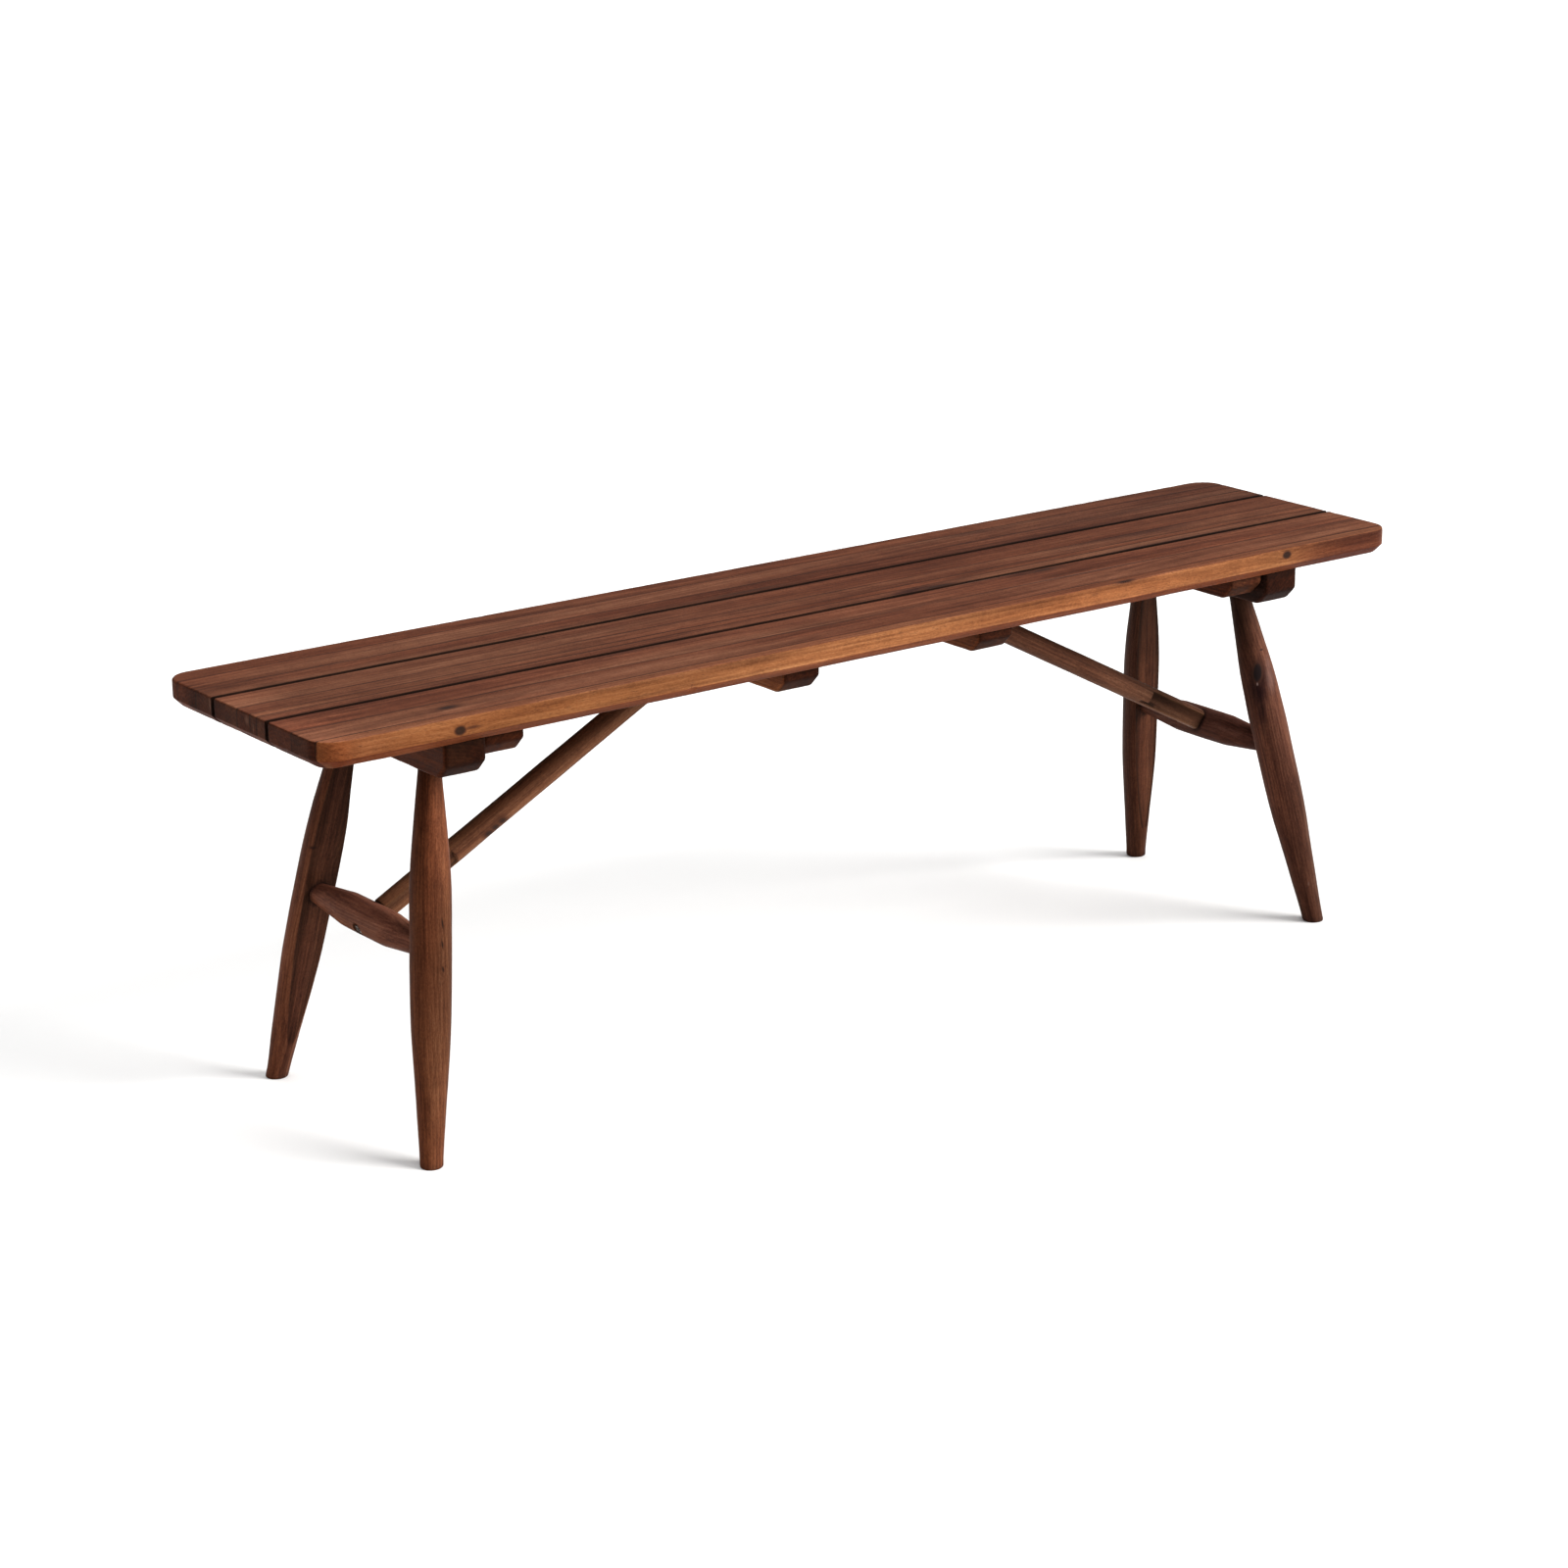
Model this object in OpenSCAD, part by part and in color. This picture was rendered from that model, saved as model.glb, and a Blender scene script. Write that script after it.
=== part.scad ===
// Outdoor dining bench in oiled hardwood: three slats on two leg rails and
// four battens, four splayed turned legs with one flat each, two end
// stretchers and two round braces that run from the stretchers up to the seat.
// Millimetres. X is the length, Y the depth (+Y is the rear), Z is up.
// The origin is the middle of the footprint, on the ground.

/* [Seat] */
// Length of the slats
bench_l = 1420; // [1300:10:1600]
// Depth of the seat over the three slats
bench_w = 320; // [300:5:380]
// Height of the seat's top
seat_h = 458; // [440:2:490]
// Thickness of each slat
slat_t = 28.6; // [26:0.2:34]
// Open gap between two slats
slat_gap = 3.4; // [2:0.2:6]
// Radius of the seat's four corners, seen from above
corner_r = 28; // [24:1:48]
// Chamfer around the seat's lower edge
edge_chamfer = 9.2; // [6:0.1:11]
// Round-over around the seat's upper edge
edge_round = 2.6; // [1.5:0.1:4]

/* [Leg rails and battens] */
// Distance from the middle to the centre of a leg rail
rail_x = 544; // [530:1:570]
// Width of a leg rail
rail_w = 48.5; // [42:0.5:52]
// Height of a leg rail
rail_h = 38; // [36:1:42]
// Length of a leg rail, across the seat
rail_l = 302; // [300:1:303]
// Distance from the middle to the centre of a batten near the middle
mid_batten_x = 130; // [120:1:150]
// Width of a batten
batten_w = 47; // [40:1:50]
// Height of a batten
batten_h = 25; // [22:1:28]
// Length of a batten, across the seat
batten_l = 291; // [280:1:298]
// Clear gap between a leg rail and the batten beside it
rail_batten_gap = 0.6; // [0.4:0.2:8]
// Chamfer on the lower ends of the rails and battens
end_chamfer = 15; // [8:1:16]

/* [Legs] */
// Distance from the middle to a foot's centre, along the bench
foot_x = 605; // [590:1:640]
// Distance from the middle to a foot's centre, across the bench
foot_y = 156.5; // [140:0.5:175]
// Distance from the middle to a leg's centre under the rail, across the bench
leg_top_y = 81; // [78:1:92]
// Diameter of a leg where it is thickest
leg_d = 43; // [40:0.5:46]
// Distance from a leg's axis to its flat, at the rail
flat_top = 8.5; // [8:0.5:10]
// Distance from a leg's axis to its flat, at the foot
flat_foot = 14.5; // [12:0.5:16]
// Diameter of the tenon in the rail
leg_tenon_d = 22; // [18:1:22]

/* [Stretchers and braces] */
// Height of the stretchers' centres
stretcher_z = 211; // [200:1:220]
// Diameter of a stretcher at its middle
stretcher_d = 36.8; // [35:0.2:38]
// Diameter of a stretcher at the leg
stretcher_end_d = 23; // [22:0.2:26]
// Diameter of a stretcher's tenon
stretcher_tenon_d = 20; // [16:1:20]
// Diameter of a brace
brace_d = 25; // [24:0.5:26]
// Slope of a brace above the horizontal, in degrees
brace_tilt = 27.9; // [27.4:0.1:28.3]
// Length of the planed flat at a brace's lower end
brace_flat_l = 92; // [70:1:110]
// Depth of the planed flat at a brace's lower end
brace_flat_depth = 4; // [2:0.1:4.6]

/* [Fasteners] */
// Diameter of the bolts
bolt_d = 6; // [5:1:6]
// Diameter of the bolts' heads
bolt_head_d = 10; // [9:0.5:11]
// Diameter of the wood screws
screw_d = 4; // [3.5:0.5:4.5]
// Diameter of the wood screws' heads
screw_head_d = 8; // [7:0.5:9]
// Clearance on the radius of every fastener and tenon in its hole
fit = 0.05; // [0.04:0.01:0.1]

/* [Hidden] */
$fn = 64;
eps = 0.01;

hx = bench_l / 2;
hy = bench_w / 2;
slat_w = (bench_w - 2 * slat_gap) / 3;
under_z = seat_h - slat_t;
rail_z = under_z - rail_h;
batten_z = under_z - batten_h;
end_batten_x = rail_x - rail_w / 2 - rail_batten_gap - batten_w / 2;
batten_xs = [-end_batten_x, -mid_batten_x, mid_batten_x, end_batten_x];

// legs: from the foot's centre on the ground to the centre under the rail
leg_dx = foot_x - rail_x;
leg_dy = foot_y - leg_top_y;
leg_s = sqrt(leg_dx * leg_dx + leg_dy * leg_dy + rail_z * rail_z);
leg_tilt = acos(rail_z / leg_s);
leg_turn = atan2(leg_dy, leg_dx);
tenon_up = 24;
// [distance from the rail as a share of the leg's length, diameter as a share
// of the thickest diameter]
leg_marks = [[-0.03, 0.52], [0, 0.54], [0.05, 0.61], [0.09, 0.68], [0.13, 0.745],
             [0.18, 0.83], [0.23, 0.91], [0.28, 0.965], [0.33, 0.995], [0.38, 1],
             [0.45, 0.995], [0.52, 0.985], [0.58, 0.975], [0.64, 0.95],
             [0.68, 0.915], [0.72, 0.87], [0.76, 0.82], [0.8, 0.77],
             [0.84, 0.72], [0.88, 0.675], [0.92, 0.625], [0.96, 0.58],
             [1, 0.545], [1.03, 0.53]];

// stretchers: between the legs of one end, at the height stretcher_z
t_st = (rail_z - stretcher_z) / rail_z;
st_x = rail_x + leg_dx * t_st;
st_leg_y = leg_top_y + leg_dy * t_st;
st_flat = flat_top + (flat_foot - flat_top) * t_st;
st_shoulder_y = st_leg_y - st_flat + 3.4;
st_end_y = st_leg_y + 8.5;

// braces: measured along their axis from the stretcher's axis
br_foot = 16;
br_flat_turn = 258;
nut_s = 50;
bolt_seat = 10;
st_recess_d = 15.4;
bolt_tip = 59.3;
br_top_x = mid_batten_x + batten_w / 2;
br_len = (st_x - br_top_x) / cos(brace_tilt) + 20;
br_screw_x = br_top_x + 18;
br_screw_axis_z = stretcher_z + tan(brace_tilt) * (st_x - br_screw_x);
br_screw_low_z = br_screw_axis_z - brace_d / 2 / cos(brace_tilt);

rail_bolt_y = 127;
rail_cbore = 8;
washer_t = 1.2;
insert_l = 12;
insert_d = 10;
washer_d = 12.4;
barrel_d = 10;
barrel_l = 16;
screw_l = 40;
screw_sink = 1.5;
// the screws stand in pairs, one pair a slat, on the flat underside of a batten
screw_mid = 30;
screw_in = 84;
screw_out = batten_l / 2 - end_chamfer - 9.5;
screw_ys = [-screw_out, -screw_in, -screw_mid, screw_mid, screw_in, screw_out];

// ---- seat ----------------------------------------------------------------

// outline of the seat's edge: from 0 at the inside to w at the outside
module edge_profile(w) {
    difference() {
        polygon([[0, 0], [w - edge_chamfer, 0], [w, edge_chamfer], [w, slat_t], [0, slat_t]]);
        difference() {
            translate([w - edge_round, slat_t - edge_round]) square([edge_round + 1, edge_round + 1]);
            translate([w - edge_round, slat_t - edge_round]) circle(r = edge_round);
        }
    }
}

// a slab along X: its outer edge at y = -hy, its inner edge at y_in
module outer_board(y_in) {
    // long run between the two corners
    translate([-hx + corner_r, 0, under_z])
        rotate([90, 0, 90])
            mirror([1, 0, 0])
                translate([-y_in, 0, 0])
                    linear_extrude(2 * (hx - corner_r)) edge_profile(hy + y_in);
    for (s = [-1, 1]) {
        // end block beside the corner
        translate([0, -hy + corner_r, under_z])
            mirror([s > 0 ? 0 : 1, 0, 0])
                translate([hx - corner_r, y_in + hy - corner_r, 0])
                    rotate([90, 0, 0])
                        linear_extrude(y_in + hy - corner_r) edge_profile(corner_r);
        // rounded corner
        mirror([s > 0 ? 0 : 1, 0, 0])
            translate([hx - corner_r, -hy + corner_r, under_z])
                rotate([0, 0, -90])
                    rotate_extrude(angle = 90, $fn = 96) edge_profile(corner_r);
    }
}

module centre_board(w) {
    translate([0, w / 2, under_z])
        rotate([90, 0, 0])
            linear_extrude(w) {
                translate([0, 0]) edge_profile(hx);
                mirror([1, 0, 0]) edge_profile(hx);
            }
}

// eases the upper arris of a slat beside a gap: s is the side that faces the gap
module gap_ease(y, s) {
    r = 1.1;
    translate([-hx - 1, y, seat_h])
        rotate([90, 0, 90])
            linear_extrude(2 * hx + 2)
                difference() {
                    translate([s > 0 ? -r : -1, -r]) square([r + 1, r + 1]);
                    translate([s > 0 ? -r : r, -r]) circle(r = r, $fn = 32);
                }
}

module batten_holes_in_slats() {
    for (x = batten_xs) for (y = screw_ys)
        translate([x, y, under_z - 1]) cylinder(h = batten_z + screw_sink + screw_l - under_z + 2, d = screw_d + 2 * fit, $fn = 24);
}

module insert_holes() {
    for (x = [-rail_x, rail_x]) for (y = [-rail_bolt_y, rail_bolt_y])
        translate([x, y, under_z - 1]) cylinder(h = insert_l + 3, d = insert_d + 2 * fit, $fn = 32);
}

module brace_screw_holes() {
    for (s = [-1, 1])
        translate([s * br_screw_x, 0, under_z - 1]) cylinder(h = 19, d = screw_d + 2 * fit, $fn = 24);
}

module front_slat() {
    color([0.52, 0.32, 0.22])
    difference() {
        outer_board(-hy + slat_w);
        gap_ease(-hy + slat_w, 1);
        batten_holes_in_slats();
        insert_holes();
    }
}

module rear_slat() {
    color([0.50, 0.31, 0.22])
    difference() {
        mirror([0, 1, 0]) outer_board(-hy + slat_w);
        gap_ease(hy - slat_w, -1);
        batten_holes_in_slats();
        insert_holes();
    }
}

module middle_slat() {
    color([0.48, 0.30, 0.21])
    difference() {
        centre_board(slat_w);
        gap_ease(slat_w / 2, 1);
        gap_ease(-slat_w / 2, -1);
        batten_holes_in_slats();
        brace_screw_holes();
    }
}

// ---- leg rails and battens -------------------------------------------------

// a bar across the seat with its lower ends chamfered
module cross_bar(x, z, w, h, l, c) {
    translate([x - w / 2, 0, z])
        rotate([90, 0, 90])
            linear_extrude(w)
                polygon([[-l / 2 + c, 0], [l / 2 - c, 0], [l / 2, c], [l / 2, h], [-l / 2, h], [-l / 2, c]]);
}

// places a leg's own frame: its +Z runs from the foot's centre to the rail
module at_leg(sx, sy) {
    turn = atan2(-sy * leg_dy, -sx * leg_dx);
    translate([sx * foot_x, sy * foot_y, 0])
        rotate([0, 0, turn]) rotate([0, leg_tilt, 0]) rotate([0, 0, -turn])
            children();
}

module leg_rail(sx) {
    difference() {
        cross_bar(sx * rail_x, rail_z, rail_w, rail_h, rail_l, end_chamfer);
        for (sy = [-1, 1]) {
            at_leg(sx, sy)
                translate([0, 0, leg_s - 12]) cylinder(h = 12 + tenon_up + 0.5, d = leg_tenon_d + 2 * fit);
            translate([sx * rail_x, sy * rail_bolt_y, rail_z - 1]) {
                cylinder(h = rail_cbore + 1, d = washer_d + 0.8, $fn = 48);
                cylinder(h = rail_h + 2, d = bolt_d + 0.6, $fn = 32);
            }
        }
    }
}

module batten(x) {
    difference() {
        cross_bar(x, batten_z, batten_w, batten_h, batten_l, end_chamfer);
        for (y = screw_ys)
            translate([x, y, batten_z - 1]) {
                cylinder(h = batten_h + 2, d = screw_d + 2 * fit, $fn = 24);
                cylinder(h = 1 + screw_sink, d = screw_head_d + 2 * fit, $fn = 32);
                translate([0, 0, 1 + screw_sink])
                    cylinder(h = 3, d1 = screw_head_d + 2 * fit, d2 = screw_d + 2 * fit, $fn = 32);
            }
    }
}

module left_leg_rail() { color([0.36, 0.20, 0.13]) leg_rail(-1); }
module right_leg_rail() { color([0.36, 0.20, 0.13]) leg_rail(1); }
module left_end_batten() { color([0.38, 0.21, 0.14]) batten(-end_batten_x); }
module right_end_batten() { color([0.38, 0.21, 0.14]) batten(end_batten_x); }
module left_mid_batten() { color([0.38, 0.21, 0.14]) batten(-mid_batten_x); }
module right_mid_batten() { color([0.38, 0.21, 0.14]) batten(mid_batten_x); }

// ---- legs ------------------------------------------------------------------

// turned leg with one flat; the flat faces the other leg of the same end
module leg(sx, sy) {
    difference() {
        union() {
            difference() {
                at_leg(sx, sy)
                    difference() {
                        rotate_extrude($fn = 72)
                            polygon(concat(
                                [[0, leg_s * (1 - leg_marks[0][0])]],
                                [for (m = leg_marks) [leg_d / 2 * m[1], leg_s * (1 - m[0])]],
                                [[0, leg_s * (1 - leg_marks[len(leg_marks) - 1][0])]]));
                        // the flat: nearer to the axis at the top than at the foot
                        mirror([0, sy > 0 ? 0 : 1, 0])
                            translate([0, -flat_foot, 0])
                                rotate([-atan2(flat_foot - flat_top, leg_s), 0, 0])
                                    translate([-50, -60, -60]) cube([100, 60, leg_s + 140]);
                    }
                translate([sx * foot_x - 100, sy * foot_y - 100, -80]) cube([200, 200, 80]);
                translate([sx * rail_x - 100, sy * leg_top_y - 100, rail_z]) cube([200, 200, 80]);
            }
            at_leg(sx, sy)
                translate([0, 0, leg_s - 9]) cylinder(h = 9 + tenon_up, d = leg_tenon_d);
        }
        // socket for the stretcher
        translate([sx * st_x, 0, stretcher_z])
            rotate([-90 * sy, 0, 0]) {
                cylinder(h = st_shoulder_y, d = stretcher_end_d + 2 * fit);
                cylinder(h = st_end_y + 0.5, d = stretcher_tenon_d + 2 * fit);
            }
    }
}

module front_left_leg() { color([0.45, 0.24, 0.14]) leg(-1, -1); }
module rear_left_leg() { color([0.40, 0.23, 0.15]) leg(-1, 1); }
module front_right_leg() { color([0.44, 0.24, 0.15]) leg(1, -1); }
module rear_right_leg() { color([0.40, 0.23, 0.15]) leg(1, 1); }

// ---- stretchers and braces -------------------------------------------------

// the brace's own frame: +Z runs along its axis from the stretcher's axis to
// the seat, and +X points up
module at_brace(sx) {
    mirror([sx > 0 ? 0 : 1, 0, 0])
        translate([st_x, 0, stretcher_z])
            rotate([0, -(90 - brace_tilt), 0])
                children();
}

// a stretcher's radius: u is 0 at its middle and 1 at its shoulder; a nearly
// even belly, a straight taper, and a short round end that enters the leg
st_belly = 0.38;
st_round = 0.945;
function st_r(u) = abs(u) < st_belly
    ? stretcher_d / 2 - 0.25 * pow(u / st_belly, 2)
    : abs(u) < st_round
        ? stretcher_d / 2 - 0.25 - (stretcher_d / 2 - 0.25 - stretcher_end_d / 2) * (abs(u) - st_belly) / (st_round - st_belly)
        : stretcher_end_d / 2;

module stretcher(sx) {
    us = [-1, -st_round, -st_belly, -st_belly / 2, 0, st_belly / 2, st_belly, st_round, 1];
    difference() {
        translate([sx * st_x, 0, stretcher_z])
            rotate([-90, 0, 0]) {
                rotate_extrude($fn = 64)
                    polygon(concat(
                        [[0, -st_shoulder_y]],
                        [for (u = us) [st_r(u), st_shoulder_y * u]],
                        [[0, st_shoulder_y]]));
                for (s = [-1, 1])
                    rotate([s > 0 ? 0 : 180, 0, 0])
                        translate([0, 0, st_shoulder_y - 5])
                            cylinder(h = st_end_y - st_shoulder_y + 5, d = stretcher_tenon_d);
            }
        at_brace(sx) {
            // shallow seat for the brace's end
            translate([0, 0, br_foot]) cylinder(h = 20, d = brace_d + 4 * fit);
            // through hole and the recess for the head
            translate([0, 0, -30]) cylinder(h = 60, d = bolt_d + 0.6, $fn = 32);
            translate([0, 0, -40]) cylinder(h = 40 - bolt_seat, d = st_recess_d, $fn = 48);
        }
    }
}

module brace(sx) {
    difference() {
        at_brace(sx)
            difference() {
                translate([0, 0, br_foot]) cylinder(h = br_len - br_foot, d = brace_d, $fn = 72);
                // bolt hole and cross hole for the barrel nut
                translate([0, 0, br_foot - 1]) cylinder(h = bolt_tip + 3 - br_foot, d = bolt_d + 0.6, $fn = 32);
                rotate([0, 0, br_flat_turn - 270])
                    translate([-brace_d, 0, nut_s])
                        rotate([0, 90, 0]) cylinder(h = brace_d + barrel_l / 2 + fit, d = barrel_d + 2 * fit, $fn = 48);
                // planed flat, facing forward and a little down
                rotate([0, 0, br_flat_turn])
                    translate([brace_d / 2 - brace_flat_depth, -20, br_foot - 1])
                        cube([10, 40, brace_flat_l + 1]);
                // narrow groove where the plane cut starts
                rotate([0, 0, 222])
                    translate([brace_d / 2 + 27.5, 2, br_foot + brace_flat_l + 2])
                        rotate([90, 0, 0]) cylinder(h = 4, r = 30, $fn = 64);
            }
        // cut flush against the batten and the seat
        translate([sx > 0 ? br_top_x - 100 : -br_top_x, -50, under_z - 100]) cube([100, 100, 200]);
        translate([sx * (br_top_x + 40) - 100, -50, under_z]) cube([200, 100, 100]);
        // hole for the screw at the top
        translate([sx * br_screw_x, 0, br_screw_low_z - 10]) {
            cylinder(h = 60, d = screw_d + 2 * fit, $fn = 24);
            cylinder(h = 10 + 3.5, d = screw_head_d + 2 * fit, $fn = 32);
            translate([0, 0, 13.5])
                cylinder(h = 3, d1 = screw_head_d + 2 * fit, d2 = screw_d + 2 * fit, $fn = 32);
        }
    }
}

module left_stretcher() { color([0.42, 0.23, 0.15]) stretcher(-1); }
module right_stretcher() { color([0.42, 0.23, 0.15]) stretcher(1); }
module left_brace() { color([0.46, 0.27, 0.17]) brace(-1); }
module right_brace() { color([0.46, 0.27, 0.17]) brace(1); }

// ---- fasteners ---------------------------------------------------------------

// socket-head bolt: its seat is at 0, its shank runs up to l
module bolt(l) {
    difference() {
        union() {
            translate([0, 0, -5.5]) cylinder(h = 5.5, d = bolt_head_d, $fn = 48);
            cylinder(h = l - 1, d = bolt_d, $fn = 32);
            translate([0, 0, l - 1]) cylinder(h = 1, d1 = bolt_d, d2 = bolt_d - 1.6, $fn = 32);
        }
        translate([0, 0, -6]) cylinder(h = 4, d = 5.77, $fn = 6);
    }
}

// countersunk wood screw: the head's flat face is at 0, its tip at l
module wood_screw(l) {
    difference() {
        union() {
            cylinder(h = 3, d1 = screw_head_d, d2 = screw_d, $fn = 32);
            translate([0, 0, 1]) cylinder(h = l - 6, d = screw_d, $fn = 24);
            translate([0, 0, l - 5]) cylinder(h = 5, d1 = screw_d, d2 = 0.6, $fn = 24);
        }
        for (a = [0, 90]) rotate([0, 0, a]) translate([-2.2, -0.5, -1]) cube([4.4, 1, 2.6]);
    }
}

module stretcher_bolt(sx) {
    color([0.62, 0.62, 0.63])
    at_brace(sx) translate([0, 0, -bolt_seat - washer_t]) bolt(bolt_tip + bolt_seat + washer_t);
}
module left_stretcher_bolt() { stretcher_bolt(-1); }
module right_stretcher_bolt() { stretcher_bolt(1); }

module barrel_nuts() {
    color([0.62, 0.62, 0.60])
    for (sx = [-1, 1])
        at_brace(sx)
            rotate([0, 0, br_flat_turn - 270]) translate([0, 0, nut_s])
                difference() {
                    rotate([0, 90, 0]) translate([0, 0, -barrel_l / 2]) cylinder(h = barrel_l, d = barrel_d, $fn = 48);
                    translate([0, 0, -10]) cylinder(h = 20, d = bolt_d + 2 * fit, $fn = 32);
                    // driver slot in the end that faces down
                    translate([-barrel_l / 2 - 1, -0.6, -4]) cube([2.2, 1.2, 8]);
                }
}

module rail_bolts() {
    color([0.62, 0.62, 0.63])
    for (x = [-rail_x, rail_x]) for (y = [-rail_bolt_y, rail_bolt_y])
        translate([x, y, rail_z + rail_cbore - washer_t]) bolt(rail_h - rail_cbore + washer_t + insert_l - 1);
}

module insert_nuts() {
    color([0.70, 0.58, 0.32])
    for (x = [-rail_x, rail_x]) for (y = [-rail_bolt_y, rail_bolt_y])
        translate([x, y, under_z])
            difference() {
                cylinder(h = insert_l, d = insert_d, $fn = 48);
                translate([0, 0, -1]) cylinder(h = insert_l + 2, d = bolt_d + 2 * fit, $fn = 32);
            }
}

module washer() {
    difference() {
        cylinder(h = washer_t, d = washer_d, $fn = 48);
        translate([0, 0, -1]) cylinder(h = washer_t + 2, d = bolt_d + 0.4, $fn = 32);
    }
}

module bolt_washers() {
    color([0.66, 0.66, 0.66]) {
        for (sx = [-1, 1]) at_brace(sx) translate([0, 0, -bolt_seat - washer_t]) washer();
        for (x = [-rail_x, rail_x]) for (y = [-rail_bolt_y, rail_bolt_y])
            translate([x, y, rail_z + rail_cbore - washer_t]) washer();
    }
}

module batten_screws() {
    color([0.60, 0.58, 0.52])
    for (x = batten_xs) for (y = screw_ys)
        translate([x, y, batten_z + screw_sink]) wood_screw(screw_l);
}

module brace_top_screws() {
    color([0.60, 0.58, 0.52])
    for (sx = [-1, 1])
        translate([sx * br_screw_x, 0, br_screw_low_z + 3.5]) wood_screw(30);
}

rear_slat();
middle_slat();
front_slat();
left_leg_rail();
right_leg_rail();
left_end_batten();
right_end_batten();
left_mid_batten();
right_mid_batten();
front_left_leg();
rear_left_leg();
front_right_leg();
rear_right_leg();
left_stretcher();
right_stretcher();
left_brace();
right_brace();
left_stretcher_bolt();
right_stretcher_bolt();
barrel_nuts();
rail_bolts();
insert_nuts();
bolt_washers();
batten_screws();
brace_top_screws();
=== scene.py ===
import math

import bmesh
import bpy
import numpy as np
from mathutils import Matrix, Vector

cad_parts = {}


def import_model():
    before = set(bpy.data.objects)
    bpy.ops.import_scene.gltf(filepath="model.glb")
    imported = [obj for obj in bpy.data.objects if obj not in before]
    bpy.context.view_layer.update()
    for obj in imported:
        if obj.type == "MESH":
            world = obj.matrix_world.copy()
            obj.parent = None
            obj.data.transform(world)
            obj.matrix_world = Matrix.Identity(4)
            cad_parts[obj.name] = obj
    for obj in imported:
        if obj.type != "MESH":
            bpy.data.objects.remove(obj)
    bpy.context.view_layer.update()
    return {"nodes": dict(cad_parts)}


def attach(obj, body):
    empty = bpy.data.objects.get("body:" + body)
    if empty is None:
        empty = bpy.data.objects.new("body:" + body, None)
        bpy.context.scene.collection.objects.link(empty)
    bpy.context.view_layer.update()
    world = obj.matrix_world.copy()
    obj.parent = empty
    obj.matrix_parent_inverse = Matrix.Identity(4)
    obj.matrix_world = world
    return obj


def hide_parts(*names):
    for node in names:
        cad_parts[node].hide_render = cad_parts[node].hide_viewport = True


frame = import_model()
scene = bpy.context.scene
MM = 0.001
RNG = np.random.default_rng(20)

# ---- dimensions of the bench (mm) -------------------------------------------
HX, HY, SEAT, THICK = 710.0, 160.0, 458.0, 28.6
GAP = 3.4
SLAT_W = (2 * HY - 2 * GAP) / 3
UNDER = SEAT - THICK
CORNER, CHAMFER, ROUND, EASE = 28.0, 9.2, 2.6, 1.1
RAIL_X, RAIL_W, RAIL_H, RAIL_L = 544.0, 48.5, 38.0, 302.0
BAT_W, BAT_H, BAT_L = 47.0, 25.0, 291.0
END_BAT_X = RAIL_X - RAIL_W / 2 - 0.6 - BAT_W / 2
MID_BAT_X = 130.0
END_CH = 15.0
RAIL_Z, BAT_Z = UNDER - RAIL_H, UNDER - BAT_H
FOOT_X, FOOT_Y, LEG_TOP_Y, LEG_D = 605.0, 156.5, 81.0, 43.0
FLAT_TOP, FLAT_FOOT = 8.5, 14.5
ST_Z, ST_D, ST_END_D, ST_BELLY, ST_ROUND = 211.0, 36.8, 23.0, 0.38, 0.945
BR_D, BR_TILT, BR_FLAT_L, BR_FLAT_DEPTH, BR_FLAT_TURN = 25.0, 27.9, 92.0, 4.0, 258.0
BR_FOOT, NUT_S, BOLT_SEAT, ST_RECESS_D = 16.0, 50.0, 10.0, 15.4
LEG_DX, LEG_DY = FOOT_X - RAIL_X, FOOT_Y - LEG_TOP_Y
LEG_S = math.sqrt(LEG_DX**2 + LEG_DY**2 + RAIL_Z**2)
T_ST = (RAIL_Z - ST_Z) / RAIL_Z
ST_X = RAIL_X + LEG_DX * T_ST
ST_SH_Y = LEG_TOP_Y + LEG_DY * T_ST - (FLAT_TOP + (FLAT_FOOT - FLAT_TOP) * T_ST) + 3.4
BR_TOP_X = MID_BAT_X + BAT_W / 2
BR_SCREW_X = BR_TOP_X + 18
SLAT_YS = [-(SLAT_W + GAP), 0.0, SLAT_W + GAP]
SCREW_YS = [-121.0, -84.0, -30.0, 30.0, 84.0, 121.0]


# ---- small helpers -----------------------------------------------------------
def smoothstep(a, b, x):
    t = np.clip((np.asarray(x, float) - a) / (b - a), 0, 1)
    return t * t * (3 - 2 * t)


def smin(a, b, k):
    h = np.clip(k - np.abs(a - b), 0, None) / k
    return np.minimum(a, b) - h * h * k / 4


class Wobble:
    """Smooth pseudo-random field: a sum of seeded sines, from about -1 to 1."""

    def __init__(self, seed, wavelengths, n=5):
        r = np.random.default_rng(seed)
        w = np.asarray(wavelengths, float)
        self.k = r.normal(size=(n, 3)) * 2 * math.pi / w
        self.p = r.uniform(0, 2 * math.pi, n)
        self.n = n

    def __call__(self, co):
        return np.sin(co @ self.k.T + self.p).sum(-1) / math.sqrt(self.n)


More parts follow.
